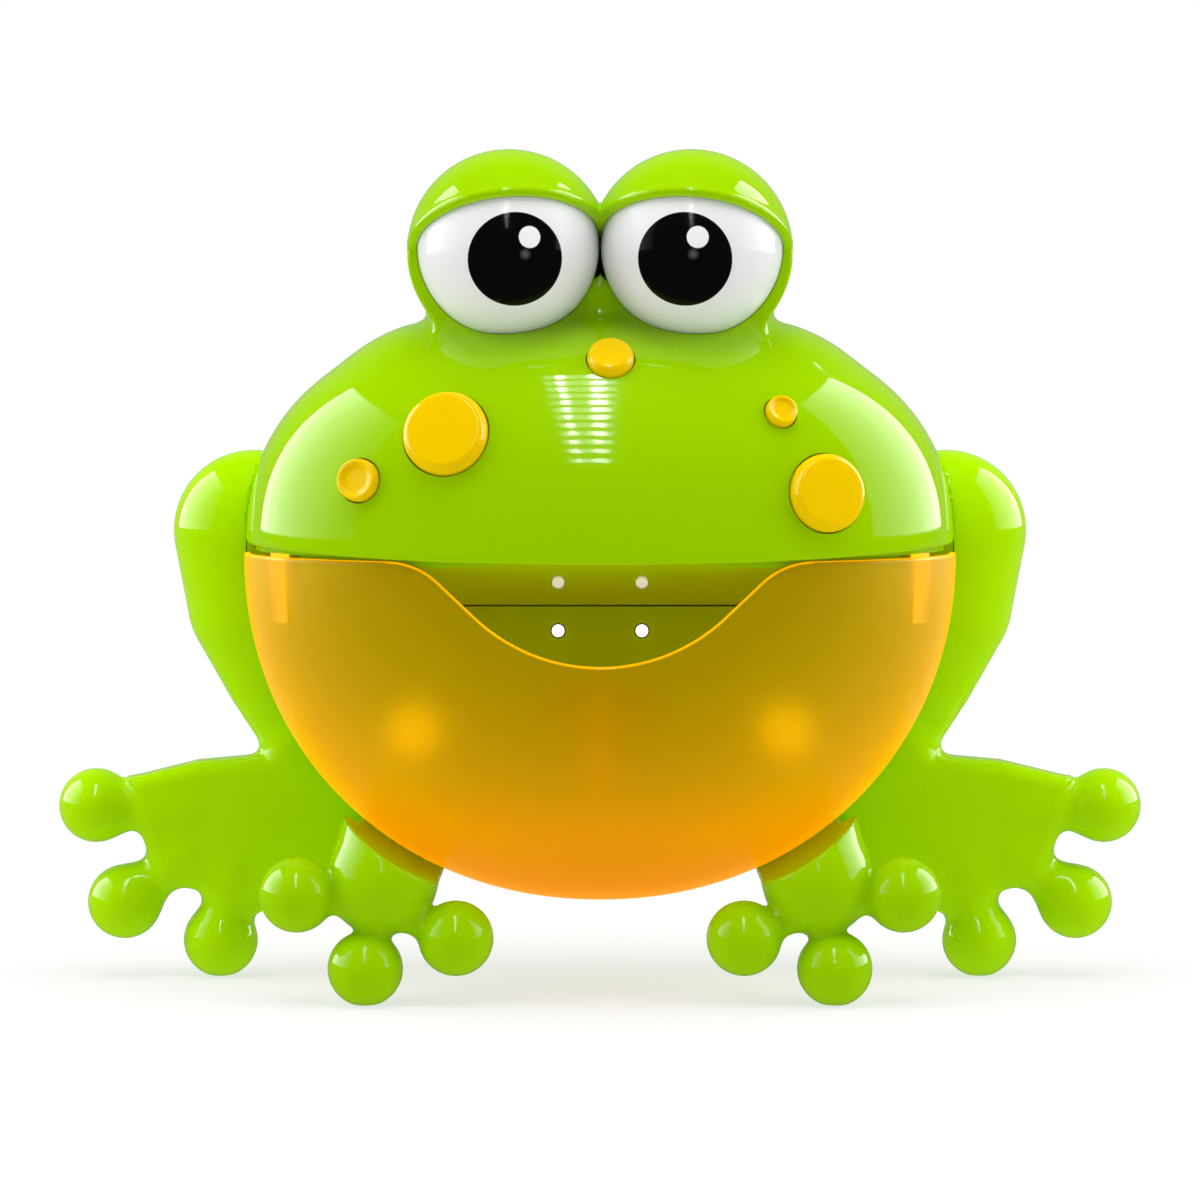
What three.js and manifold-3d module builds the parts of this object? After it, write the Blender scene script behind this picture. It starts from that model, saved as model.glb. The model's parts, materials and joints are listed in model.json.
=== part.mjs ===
// Bubble frog bath toy. Millimetres, +Z up, the frog faces -Y, +X is on the viewer's right.
// Origin: on the floor, midway between the mouth lip and the suction cup rims.
import * as THREE from 'three';
import { mergeVertices } from 'three/addons/utils/BufferGeometryUtils.js';
import Module from 'manifold-3d';

const wasm = await Module();
wasm.setup();

// Clearances
const fit = 0.3;
const saddleGap = 1.0;

// Head and body shells, which meet at the plane y = 0
const mouthEdgeZ = 120.3;
const bodyHalfWidth = 96.6;
const headHeight = 66;
const headPower = 2.4;
const bodyDepth = 55;
const shellWall = 2.2;
const backDepth = 43;
const backEdge = 6;

// Solution tray
const rimGap = 1.3;
const trayProud = 0.7;
const trayHeight = 95;
const trayPower = 2.08;
const trayWall = 1.8;
const trayBackDrop = 6;
const dipDepth = 26.4;
const dipArcRadius = 48;
const dipArcAngle = 43;
const dipRun = 12;
const dipShoulderRadius = 20;
const ribInset = 11.3;
const ribWidth = 4.8;
const ribHeight = 17;
const ribDepth = 6;

// Mouth roof and wall
const roofDrop = 15.6;
const roofWall = 1.8;
const roofSideInset = 16.6;
const panelFrontY = 2;
const panelWall = 2.4;

// Eyes
const eyeX = 25.3;
const eyeY = -20;
const eyeZ = 203.1;
const eyeBulgeRadius = 25.6;
const eyeballX = 24.6;
const eyeballRadius = 23.9;
const eyeballWall = 2;
const socketLip = 1.5;
const lidTilt = 30;
const lidRoll = 6;
const lidRise = 2;
const eyeBridgeRadius = 8;
const eyeBridgeDrop = 12.6;
const eyeBridgeFrontY = -16;

// Yellow spots: place on the head, radius, height and dish of each
const spotFlange = 1.5;
const spotFlangeThick = 1.2;
const spotEdge = 1.2;
const noseSpot = { x: 2.8, z: 172.8, radius: 6.25, height: 2.6, dish: 0 };
const leftLargeSpot = { x: -40.6, z: 153.5, radius: 11.4, height: 3, dish: 0 };
const leftSmallSpot = { x: -63.5, z: 140.9, radius: 5.75, height: 2.6, dish: 0.9 };
const rightSmallSpot = { x: 47.6, z: 158.8, radius: 4.25, height: 2.4, dish: 0.8 };
const buttonSpot = { x: 59.8, z: 137.7, radius: 10.4, height: 3.4, dish: 0 };
const spotSeat = 0.7;

// Power button, switch and circuit board, stacked inwards along the button's axis
const buttonTravel = 2;
const buttonStemRadius = 2.5;
const buttonStem = 7;
const plungerRadius = 1.7;
const plungerLength = 3.6;
const switchWidth = 7;
const switchHeight = 5.4;
const switchFloor = 0.8;
const boardWidth = 37;
const boardHeight = 16;
const boardThick = 1.6;
const boardPostRadius = 2.4;
const boardPostX = 15.2;
const boardPinRadius = 1.1;

// Lamps in the mouth wall
const mouthLampX = 11.5;
const mouthLampZ = 97.7;
const mouthLampRadius = 1.9;
const trayLampX = 51;
const trayLampZ = 70.4;
const trayLampRadius = 7;
const trayLampThick = 1.4;
const lampStemRadius = 1.9;
const lampFlange = 0.9;

// Wiper, nozzle and gear train along +X from the wiper's hub, which lies above the belly's lowest point
const hubLift = 34;
const gearModule = 0.7;
const pinionTeeth = 9;
const wheelTeeth = 27;
const gearThick = 2.5;
const gearSpace = 0.5;
const gearFrontY = 6;
const gearPinRadius = 1.2;
const wiperReach = 26;
const wiperWidth = 6;
const wiperThick = 1.5;
const wiperShaftRadius = 1.3;
const wiperHubRadius = 4;
const nozzleInnerRadius = 16;
const nozzleOuterRadius = 25;
const nozzleWall = 1.5;
const nozzleHalfAngle = 35;
const nozzleReach = 5.5;
const nozzleLip = 1.2;
const nozzleNeck = 6;
const gearPlateThick = 1.6;
const gearPlateHalfHeight = 10.5;
const platePostRadius = 2.2;

// Motor, fan and air duct
const motorRadius = 10;
const motorShaftRadius = 1;
const fanRadius = 15;
const fanThick = 4;
const fanBlades = 9;
const fanHubRadius = 4;
const fanHousingRadius = 18.5;
const fanHousingWall = 1.4;
const fanInletRadius = 7;
const ductWall = 1.5;
const ductRunHeight = 4.6;

// Batteries and their box, open to the back
const cellRadius = 7.1;
const cellLength = 49.5;
const cellNubRadius = 2.7;
const cellNub = 1;
const cellPitch = 15;
const cellMiddleZ = 125;
const contactThick = 0.5;
const contactReach = 3.4;
const boxWall = 1.5;
const doorThick = 2;

// Speaker
const speakerInset = 56.6;
const speakerLift = 26.4;
const speakerRadius = 14;
const speakerDepth = 10;
const grilleSlots = 5;
const grillePitch = 4.4;
const grilleWidth = 1.8;

// Suction cups, placed from the body's side and from the mouth edge or the belly line
const cupRadius = 20;
const cupHeight = 12;
const cupWall = 1.6;
const cupRim = 2;
const cupNeckRadius = 3;
const cupKnobRadius = 4.4;
const upperCupInset = 42.6;
const upperCupRise = 29.7;
const lowerCupInset = 30.6;
const lowerCupLift = 23.8;

// Screws: case screws are placed from the body's side and the mouth edge, panel screws from the side and the belly line
const screwRadius = 1.3;
const screwHeadRadius = 2.9;
const screwHead = 1.5;
const screwLength = 14;
const postWall = 1.4;
const caseScrewHeadY = 6;
const caseScrewPoints = [{ inset: 18.6, rise: 12.7 }, { inset: 49.6, rise: 51.7 }];
const panelScrewPoints = [{ inset: 18.6, lift: 30.6 }, { inset: 66.6, lift: 5.8 }];

// Legs: hind leg places are measured out from the body's side, front leg places from its peg
const toePadCut = 0.4;
const frontToeRadius = 10;
const frontToeY = -33;
const hindToeRadius = 10.3;
const hindLegY = 18;
const webBevel = 3;
const frontWebThick = 13;
const hindWebThick = 14;
const thighDepth = 0.76;
const thighTop = { out: -0.6, z: 125, radius: 22.6 };
const thighEnd = { out: -8.6, z: 64, radius: 7.6 };
const pegRadius = 4;
const pegReach = 8;
const hindPegZ = 115;
const frontPegInset = 42.6;
const frontPegY = 10;
const frontLegFoot = { out: 4.7, y: -27, z: 32, radius: 14 };
const frontLegTop = { out: 1, y: 6, z: 38, radius: 13.5 };
const frontToes = [{ out: 27.2, z: 29.5 }, { out: 8.9, z: frontToeRadius - toePadCut }, { out: -15.4, z: 17.8 }];
const hindToes = [{ out: 43.9, z: 47.7 }, { out: 36.1, z: 20.7 }, { out: 9.4, z: hindToeRadius - toePadCut }];
const frontWebPoints = [
  [16, 40], [21, 34], [28, 32], [28, 26], [17, 24], [12, 14],
  [6, 14], [-2, 20], [-12, 14], [-17, 20], [-9, 31], [-6, 38],
];
const hindWebPoints = [
  [-10.6, 70], [2.4, 64], [14.4, 61.5], [27.4, 59], [44.4, 54], [44.4, 44], [31.4, 37], [37.4, 24],
  [32.4, 18], [20.7, 25.4], [14.4, 10], [5.4, 10], [-1.2, 17.3], [-8.6, 26], [-16, 33.4], [-27.6, 39.5], [-27.6, 55],
];

// Finishes
const finish = (color, roughness, metalness = 0) => new THREE.MeshStandardMaterial({ color, roughness, metalness });
const greenPlastic = finish('#8fc800', 0.18);
const yellowPlastic = finish('#f2c500', 0.2);
const orangeClear = finish('#f59a00', 0.15);
const whitePlastic = finish('#ececee', 0.15);
const lampWhite = finish('#fbfbf5', 0.2);
const clearRubber = finish('#dfe6e8', 0.25);
const greyPlastic = finish('#8b8f92', 0.5);
const blackPlastic = finish('#232425', 0.5);
const boardGreen = finish('#1f6b3a', 0.45);
const steel = finish('#b9bcc0', 0.3, 1);
const cellWrap = finish('#3b5f8f', 0.4);

// Helpers

const degrees = THREE.MathUtils.degToRad;
const far = 400;
const domeSides = 36;
const eyeSides = 20;
const outlineSteps = 18;
const spotSides = 16;

// A closed solid from a geometry, with shared corners merged and empty triangles dropped.
function solid(geometry) {
  const bare = geometry.clone();
  for (const name of Object.keys(bare.attributes)) {
    if (name !== 'position') bare.deleteAttribute(name);
  }
  const merged = mergeVertices(bare, 1e-4);
  const corners = merged.index.array;
  const triVerts = [];
  for (let i = 0; i < corners.length; i += 3) {
    const [a, b, c] = corners.slice(i, i + 3);
    if (a !== b && b !== c && c !== a) triVerts.push(a, b, c);
  }
  const mesh = new wasm.Mesh({
    numProp: 3,
    vertProperties: Float32Array.from(merged.attributes.position.array),
    triVerts: Uint32Array.from(triVerts),
  });
  return new wasm.Manifold(mesh);
}

function geometryOf(body) {
  const { vertProperties, triVerts } = body.getMesh();
  const geometry = new THREE.BufferGeometry();
  geometry.setAttribute('position', new THREE.BufferAttribute(Float32Array.from(vertProperties), 3));
  geometry.setIndex(Array.from(triVerts));
  geometry.computeVertexNormals();
  return geometry;
}

// The same geometry on the other side of the plane x = 0.
function mirrored(geometry) {
  const copy = geometry.clone();
  copy.scale(-1, 1, 1);
  const corners = Array.from(copy.index.array);
  for (let i = 0; i < corners.length; i += 3) {
    [corners[i], corners[i + 1]] = [corners[i + 1], corners[i]];
  }
  copy.setIndex(corners);
  copy.computeVertexNormals();
  return copy;
}

const union = (...bodies) => bodies.reduce((whole, body) => whole.add(body));
const cut = (body, ...tools) => tools.reduce((whole, tool) => whole.subtract(tool), body);

function box(x0, x1, y0, y1, z0, z1) {
  const geometry = new THREE.BoxGeometry(x1 - x0, y1 - y0, z1 - z0);
  return solid(geometry.translate((x0 + x1) / 2, (y0 + y1) / 2, (z0 + z1) / 2));
}

// A round bar along Y.
function bar(radius, y0, y1, x, z, sides = 12) {
  const geometry = new THREE.CylinderGeometry(radius, radius, y1 - y0, sides);
  return solid(geometry.translate(x, (y0 + y1) / 2, z));
}

function ball(radius, x, y, z, around = 12, down = 8) {
  return solid(new THREE.SphereGeometry(radius, around, down).translate(x, y, z));
}

// A turned solid about Y, whose profile runs through [radius, y] points.
function turned(profile, sides = 24) {
  const points = profile.map(([radius, y]) => new THREE.Vector2(radius, y));
  return new THREE.LatheGeometry(points, sides);
}

// A flat shape in X and Z, given thickness from y0 to y1, with an optional rounded edge.
function slab(shape, y0, y1, edge = 0, edgeSteps = 1) {
  const geometry = new THREE.ExtrudeGeometry(shape, {
    depth: y1 - y0 - 2 * edge,
    bevelEnabled: edge > 0,
    bevelThickness: edge,
    bevelSize: edge,
    bevelOffset: -edge,
    bevelSegments: edgeSteps,
    curveSegments: 6,
  });
  return solid(geometry.rotateX(Math.PI / 2).translate(0, y1 - edge, 0));
}

// Points of a superellipse between two angles, about the middle of its base line at height z.
function superArc(halfWidth, height, power, z, from, to, steps) {
  const points = [];
  for (let i = 0; i <= steps; i += 1) {
    const angle = from + ((to - from) * i) / steps;
    const [c, s] = [Math.cos(angle), Math.sin(angle)];
    const reach = (Math.abs(c) ** power + Math.abs(s) ** power) ** (-1 / power);
    points.push(new THREE.Vector2(halfWidth * reach * c, z + height * reach * s));
  }
  return points;
}

// A sphere stretched to a superellipsoid, with its poles along Y.
function superBall(halfWidth, depth, height, power, z) {
  const geometry = new THREE.SphereGeometry(1, domeSides, domeSides / 2);
  const place = geometry.attributes.position;
  const p = new THREE.Vector3();
  for (let i = 0; i < place.count; i += 1) {
    p.fromBufferAttribute(place, i);
    const sum = Math.abs(p.x) ** power + Math.abs(p.y) ** power + Math.abs(p.z) ** power;
    p.multiplyScalar(sum ** (-1 / power));
    place.setXYZ(i, halfWidth * p.x, depth * p.y, z + height * p.z);
  }
  return solid(geometry);
}

// A round bar that tapers from one ball to another.
function taper(from, to) {
  const start = new THREE.Vector3(from.x, from.y, from.z);
  const end = new THREE.Vector3(to.x, to.y, to.z);
  const span = start.distanceTo(end);
  const lean = Math.asin((from.radius - to.radius) / span);
  const profile = [];
  const steps = 4;
  for (let i = 0; i <= steps; i += 1) {
    const angle = -Math.PI / 2 + ((lean + Math.PI / 2) * i) / steps;
    profile.push([from.radius * Math.cos(angle), from.radius * Math.sin(angle)]);
  }
  for (let i = 0; i <= steps; i += 1) {
    const angle = lean + ((Math.PI / 2 - lean) * i) / steps;
    profile.push([to.radius * Math.cos(angle), span + to.radius * Math.sin(angle)]);
  }
  profile[0][0] = 0;
  profile[profile.length - 1][0] = 0;
  const turn = new THREE.Quaternion().setFromUnitVectors(
    new THREE.Vector3(0, 1, 0),
    end.clone().sub(start).normalize(),
  );
  const geometry = turned(profile, 14);
  geometry.applyMatrix4(new THREE.Matrix4().compose(start, turn, new THREE.Vector3(1, 1, 1)));
  return geometry;
}

const frog = new THREE.Group();

function add(name, body, material) {
  const mesh = new THREE.Mesh(geometryOf(body), material);
  mesh.name = name;
  frog.add(mesh);
}

// A piece on the viewer's right and its mirror image on the left.
function addPair(name, body, material) {
  add(`right_${name}`, body, material);
  const mesh = new THREE.Mesh(mirrored(geometryOf(body)), material);
  mesh.name = `left_${name}`;
  frog.add(mesh);
}

const bothSides = (list) => list.flatMap(({ x, z }) => [{ x, z }, { x: -x, z }]);

// Values shared by pieces that meet
const bellyZ = (x) => mouthEdgeZ
  - (trayHeight + rimGap) * (1 - (Math.abs(x) / bodyHalfWidth) ** trayPower) ** (1 / trayPower);
const onBelly = ({ inset, lift }) => ({ x: bodyHalfWidth - inset, z: bellyZ(bodyHalfWidth - inset) + lift });
const onHead = ({ inset, rise }) => ({ x: bodyHalfWidth - inset, z: mouthEdgeZ + rise });
const rimZ = mouthEdgeZ - rimGap;
const trayHalfWidth = bodyHalfWidth + trayProud;
const ribX = trayHalfWidth - ribInset;
const roofHalfWidth = bodyHalfWidth - roofSideInset;
const hubZ = bellyZ(0) + hubLift;
const trayBackTopZ = hubZ - trayBackDrop;
const speakerX = -(bodyHalfWidth - speakerInset);
const speakerZ = bellyZ(speakerX) + speakerLift;
const upperCup = onHead({ inset: upperCupInset, rise: upperCupRise });
const lowerCup = onBelly({ inset: lowerCupInset, lift: lowerCupLift });
const caseScrews = caseScrewPoints.map(onHead);
const panelScrews = panelScrewPoints.map(onBelly);
const frontPeg = { x: bodyHalfWidth - frontPegInset, y: frontPegY };
const backInnerY = backDepth - shellWall;
const panelBackY = panelFrontY + panelWall;
const gearCentre = (gearModule * (pinionTeeth + wheelTeeth)) / 2;
const motorX = 3 * gearCentre;
const wheelRadius = (gearModule * wheelTeeth) / 2;
const gearLayer = (n) => gearFrontY + n * (gearThick + gearSpace);
const gearPlateY = gearLayer(3) + gearSpace;
const motorFrontY = gearPlateY + gearPlateThick + fit;
const fanFrontY = backInnerY - fit - fanThick - 2 * fit;
const fanHousingY = fanFrontY - 2 * fit - fanHousingWall;
const motorBackY = fanHousingY - fit;
const ductLowZ = hubZ + nozzleInnerRadius * Math.cos(degrees(nozzleHalfAngle)) - fit;
const ductHighZ = hubZ + nozzleOuterRadius + fit;
const ductHalfWidth = nozzleOuterRadius * Math.sin(degrees(nozzleHalfAngle)) + fit;
const boxHalfWidth = cellLength / 2 + cellNub + contactReach + contactThick + fit;
const boxHalfHeight = 1.5 * cellPitch + 2 * fit;
const doorFrontY = backDepth - doorThick;
const cellY = doorFrontY - fit - cellRadius;
const boxFrontY = cellY - cellRadius - fit - boxWall;

// Outline of the two shells at the parting plane: head above the mouth edge, belly below.
function bodyShape(inset) {
  const halfWidth = bodyHalfWidth - inset;
  const belly = trayHeight + rimGap - inset;
  const head = superArc(halfWidth, headHeight - inset, headPower, mouthEdgeZ, 0, Math.PI, outlineSteps);
  const lower = superArc(halfWidth, belly, trayPower, mouthEdgeZ, Math.PI, 2 * Math.PI, outlineSteps);
  return new THREE.Shape([...head, ...lower.slice(1, -1)]);
}

function bellyShape(inset) {
  const lower = superArc(
    trayHalfWidth - inset, trayHeight - inset, trayPower, rimZ, Math.PI, 2 * Math.PI, outlineSteps,
  );
  return new THREE.Shape(lower);
}

// Point and outward normal of the head at a front-view place.
function headFrame({ x, z }) {
  const across = Math.abs(x) / bodyHalfWidth;
  const up = (z - mouthEdgeZ) / headHeight;
  const out = (1 - across ** headPower - up ** headPower) ** (1 / headPower);
  const normal = new THREE.Vector3(
    (Math.sign(x) * across ** (headPower - 1)) / bodyHalfWidth,
    -(out ** (headPower - 1)) / bodyDepth,
    up ** (headPower - 1) / headHeight,
  ).normalize();
  const turn = new THREE.Quaternion().setFromUnitVectors(new THREE.Vector3(0, 1, 0), normal);
  return new THREE.Matrix4().compose(
    new THREE.Vector3(x, -bodyDepth * out, z), turn, new THREE.Vector3(1, 1, 1),
  );
}

// A round bar along a spot's axis, from one height to another over the head's surface.
function spotBar(frame, radius, low, high, offset = 0, sides = 12) {
  const geometry = new THREE.CylinderGeometry(radius, radius, high - low, sides);
  return solid(geometry.translate(offset, (low + high) / 2, 0).applyMatrix4(frame));
}

// How far below the head's surface a spot's flange lies, clear of the inner wall all round.
function flangeTop(spot) {
  const frame = headFrame(spot);
  const hollow = [bodyHalfWidth, bodyDepth, headHeight].map((size) => size - shellWall);
  const inHollow = (angle, height) => {
    const edge = spot.radius + spotFlange;
    const p = new THREE.Vector3(edge * Math.cos(angle), height, edge * Math.sin(angle)).applyMatrix4(frame);
    const place = [p.x, p.y, p.z - mouthEdgeZ];
    return place.reduce((sum, value, i) => sum + Math.abs(value / hollow[i]) ** headPower, 0) < 1;
  };
  let depth = 0;
  for (let angle = 0; angle < 2 * Math.PI; angle += Math.PI / 8) {
    while (!inHollow(angle, depth)) depth -= spotSeat / 4;
  }
  return depth - spotSeat;
}

function spotCap(spot, extra = []) {
  const top = flangeTop(spot);
  const profile = [
    ...extra,
    [spot.radius + spotFlange, top - spotFlangeThick],
    [spot.radius + spotFlange, top],
    [spot.radius, top],
    [spot.radius, spot.height - spotEdge],
    [spot.radius - spotEdge * 0.3, spot.height - spotEdge * 0.3],
    [spot.radius - spotEdge, spot.height],
    [spot.radius - spotEdge - spot.dish, spot.height - spot.dish * 0.7],
    [0, spot.height - spot.dish],
  ];
  return turned(profile, spotSides);
}

// Power button stack
const buttonFrame = headFrame(buttonSpot);
const stemEnd = flangeTop(buttonSpot) - spotFlangeThick - buttonStem;
const plungerTop = stemEnd - fit;
const plungerEnd = plungerTop - plungerLength;
const switchTop = plungerTop - buttonTravel - fit;
const switchEnd = switchTop - switchHeight;
const boardTop = switchEnd - fit;
const boardEnd = boardTop - boardThick;

const power_button = spotCap(buttonSpot, [
  [0, stemEnd],
  [buttonStemRadius, stemEnd],
  [buttonStemRadius, flangeTop(buttonSpot) - spotFlangeThick],
]);
add('power_button', solid(power_button.applyMatrix4(buttonFrame)), yellowPlastic);
add('switch_plunger', spotBar(buttonFrame, plungerRadius, plungerEnd, plungerTop), blackPlastic);

const boxOnAxis = (width, low, high, height) => solid(
  new THREE.BoxGeometry(width, high - low, height)
    .translate(0, (low + high) / 2, 0)
    .applyMatrix4(buttonFrame),
);
const switch_body = cut(
  boxOnAxis(switchWidth, switchEnd, switchTop, switchWidth),
  spotBar(buttonFrame, plungerRadius + fit, switchEnd + switchFloor, switchTop + 1),
);
add('switch_body', switch_body, greyPlastic);

const boardPostPlaces = [-boardPostX, boardPostX];
const circuit_board = cut(
  boxOnAxis(boardWidth, boardEnd, boardTop, boardHeight),
  ...boardPostPlaces.map((x) => spotBar(buttonFrame, boardPinRadius + fit, boardEnd - 1, boardTop + 1, x)),
);
add('circuit_board', circuit_board, boardGreen);

// Yellow spots
const capSpots = {
  nose_spot: noseSpot,
  left_large_spot: leftLargeSpot,
  left_small_spot: leftSmallSpot,
  right_small_spot: rightSmallSpot,
};
for (const [name, spot] of Object.entries(capSpots)) {
  const cap = spotCap(spot, [[0, flangeTop(spot) - spotFlangeThick]]);
  add(name, solid(cap.applyMatrix4(headFrame(spot))), yellowPlastic);
}

// Front shell: head dome with eye bulges, lids, spot holes and screw posts
const headRoom = box(-far, far, -far, 0, mouthEdgeZ, far);
const headOuter = superBall(bodyHalfWidth, bodyDepth, headHeight, headPower, mouthEdgeZ);
const headInner = superBall(
  bodyHalfWidth - shellWall, bodyDepth - shellWall, headHeight - shellWall, headPower, mouthEdgeZ,
);

function eyeBulge(side) {
  const x = side * eyeX;
  const round = union(
    ball(eyeBulgeRadius, x, eyeY, eyeZ, eyeSides, eyeSides / 2),
    bar(eyeBulgeRadius, eyeY, 0, x, eyeZ, eyeSides),
  );
  const below = new THREE.BoxGeometry(far, far, far).translate(0, 0, -far / 2);
  below.rotateX(-degrees(lidTilt)).rotateY(side * degrees(lidRoll)).translate(x, eyeY, eyeZ + lidRise);
  const opening = solid(below).intersect(box(-far, far, -far, eyeY - socketLip, 0, far));
  return round.subtract(opening).intersect(headRoom);
}

const caseScrewPlaces = bothSides(caseScrews);
const caseHole = screwRadius + fit;
const casePostRadius = screwHeadRadius + fit + postWall;
const frontPosts = caseScrewPlaces.map(({ x, z }) => bar(caseHole + 2 * postWall, -bodyDepth, -fit, x, z));
const boardPosts = boardPostPlaces.flatMap((x) => [
  spotBar(buttonFrame, boardPostRadius, boardTop + fit, 0, x),
  spotBar(buttonFrame, boardPinRadius, boardEnd - fit, boardTop + 2 * fit, x),
]);
const eyeBridge = (y0, y1) => bar(eyeBridgeRadius, y0, y1, 0, eyeZ - eyeBridgeDrop);
const headSkin = union(
  headOuter.intersect(headRoom), eyeBulge(1), eyeBulge(-1), eyeBridge(eyeBridgeFrontY, 0),
);
const headHollow = [1, -1].flatMap((side) => [
  ball(eyeballRadius + fit, side * eyeballX, eyeY, eyeZ, eyeSides, eyeSides / 2),
  bar(eyeBulgeRadius - shellWall, eyeY, 1, side * eyeX, eyeZ, eyeSides),
]);
const spotHoles = [...Object.values(capSpots), buttonSpot].map((spot) => spotBar(
  headFrame(spot), spot.radius + fit, flangeTop(spot) - 1, spot.height, 0, spotSides,
));
const innerPosts = union(...frontPosts, ...boardPosts).intersect(headOuter);
const caseHoles = caseScrewPlaces.map(
  ({ x, z }) => bar(caseHole, caseScrewHeadY - screwLength - 1, 1, x, z),
);
const front_shell = cut(union(cut(headSkin, headInner, ...headHollow), innerPosts), ...spotHoles, ...caseHoles);
add('front_shell', front_shell, greenPlastic);

// Eyeballs: hollow white balls, open at the back
const eyeball = cut(
  ball(eyeballRadius, eyeballX, eyeY, eyeZ, eyeSides, eyeSides / 2),
  ball(eyeballRadius - eyeballWall, eyeballX, eyeY, eyeZ),
  box(0, far, eyeY + eyeballRadius / 2, far, 0, far),
);
addPair('eyeball', eyeball, whitePlastic);

// Solution tray
const trayOuter = superBall(trayHalfWidth, bodyDepth, trayHeight, trayPower, rimZ);
const trayInner = superBall(
  trayHalfWidth - trayWall, bodyDepth - trayWall, trayHeight - trayWall, trayPower, rimZ,
);

// The smile: a round bottom, two slopes and two shoulders that run out on the rim.
function dipShape() {
  const shape = new THREE.Shape();
  const angle = degrees(dipArcAngle);
  const arcZ = rimZ - dipDepth + dipArcRadius;
  const slopeX = dipArcRadius * Math.sin(angle) + dipRun * Math.cos(angle);
  const slopeZ = arcZ - dipArcRadius * Math.cos(angle) + dipRun * Math.sin(angle);
  const shoulderX = slopeX + dipShoulderRadius * Math.sin(angle);
  const shoulderZ = slopeZ - dipShoulderRadius * Math.cos(angle);
  const up = Math.PI / 2;
  shape.absarc(-shoulderX, shoulderZ, dipShoulderRadius, up, up - angle, true);
  shape.absarc(0, arcZ, dipArcRadius, -up - angle, -up + angle, false);
  shape.absarc(shoulderX, shoulderZ, dipShoulderRadius, up + angle, up, true);
  shape.lineTo(shoulderX, rimZ + dipDepth);
  shape.lineTo(-shoulderX, rimZ + dipDepth);
  shape.closePath();
  return shape;
}

const planShape = (halfWidth, depth, power) => {
  const arc = superArc(halfWidth, depth, power, 0, 0, Math.PI, outlineSteps);
  return new THREE.Shape(arc);
};

// A plan outline in X and -Y, given height from z0 to z1.
function planSolid(halfWidth, depth, power, z0, z1, back = 0) {
  const shape = planShape(halfWidth, depth, power);
  const geometry = new THREE.ExtrudeGeometry(shape, { depth: z1 - z0, bevelEnabled: false });
  const front = solid(geometry.rotateX(Math.PI).translate(0, 0, z1));
  return back > 0 ? front.add(box(-halfWidth, halfWidth, -fit, back, z0, z1)) : front;
}

const ribRoom = planSolid(trayHalfWidth, bodyDepth, trayPower, rimZ - ribHeight, rimZ + rimGap - fit);
const ribWallY = -bodyDepth * (1 - (ribX / trayHalfWidth) ** trayPower) ** (1 / trayPower);
const rib = box(
  ribX - ribWidth / 2, ribX + ribWidth / 2, -far, ribWallY + ribDepth, rimZ - ribHeight, far,
).intersect(ribRoom).intersect(trayOuter.add(box(0, far, -far, 0, rimZ, far)));
const trayRoom = box(-far, far, -far, -fit, 0, rimZ);
const backWall = box(-far, far, -fit - trayWall, far, 0, trayBackTopZ);
const trayShell = trayOuter.intersect(trayRoom).subtract(trayInner.subtract(backWall));
const dip = slab(dipShape(), -far, far);
const leftRib = solid(mirrored(geometryOf(rib)));
const solution_tray = cut(union(trayShell, rib, leftRib), dip);
add('solution_tray', solution_tray, orangeClear);

// Mouth roof: a flange inside the head's edge and a shallow tub whose floor slopes to the back
const roofInset = shellWall + fit;
const roofFlangeLow = mouthEdgeZ + fit;
const roofFlangeHigh = roofFlangeLow + roofWall;
const roofBackY = panelFrontY - fit;
const roofRun = bodyDepth + panelFrontY;
const roofSlope = roofDrop / roofRun;
const tubInset = trayWall + 2 * fit;
const tubPlan = (inset, z0, z1, back) => planSolid(
  trayHalfWidth - inset, bodyDepth - inset, trayPower, z0, z1, back,
);

// Everything above the roof's sloping underside, raised by a height.
function aboveRoof(raise) {
  const backZ = mouthEdgeZ - roofSlope * (bodyDepth + far) + raise;
  const frontZ = mouthEdgeZ - roofSlope * (bodyDepth - far) + raise;
  const side = new THREE.Shape([
    new THREE.Vector2(far, backZ),
    new THREE.Vector2(far, far),
    new THREE.Vector2(-far, far),
    new THREE.Vector2(-far, frontZ),
  ]);
  const geometry = new THREE.ExtrudeGeometry(side, { depth: 2 * far, bevelEnabled: false });
  geometry.applyMatrix4(new THREE.Matrix4().set(0, 0, 1, -far, 1, 0, 0, 0, 0, 1, 0, 0, 0, 0, 0, 1));
  return solid(geometry);
}

const roofLow = mouthEdgeZ - roofDrop;
const roofMiddle = (half) => box(-half, half, -far, far, 0, far);
const roofTub = tubPlan(tubInset, roofLow, roofFlangeHigh, roofBackY)
  .intersect(roofMiddle(roofHalfWidth))
  .intersect(aboveRoof(0));
const roofFlange = planSolid(
  bodyHalfWidth - roofInset, bodyDepth - roofInset, headPower, roofFlangeLow, roofFlangeHigh,
).intersect(box(-far, far, -far, -fit, 0, far));
const roofHollow = tubPlan(tubInset + roofWall, roofLow, far, backDepth)
  .intersect(roofMiddle(roofHalfWidth - roofWall))
  .intersect(aboveRoof(roofWall));
add('mouth_roof', cut(union(roofTub, roofFlange), roofHollow), greenPlastic);

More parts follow.
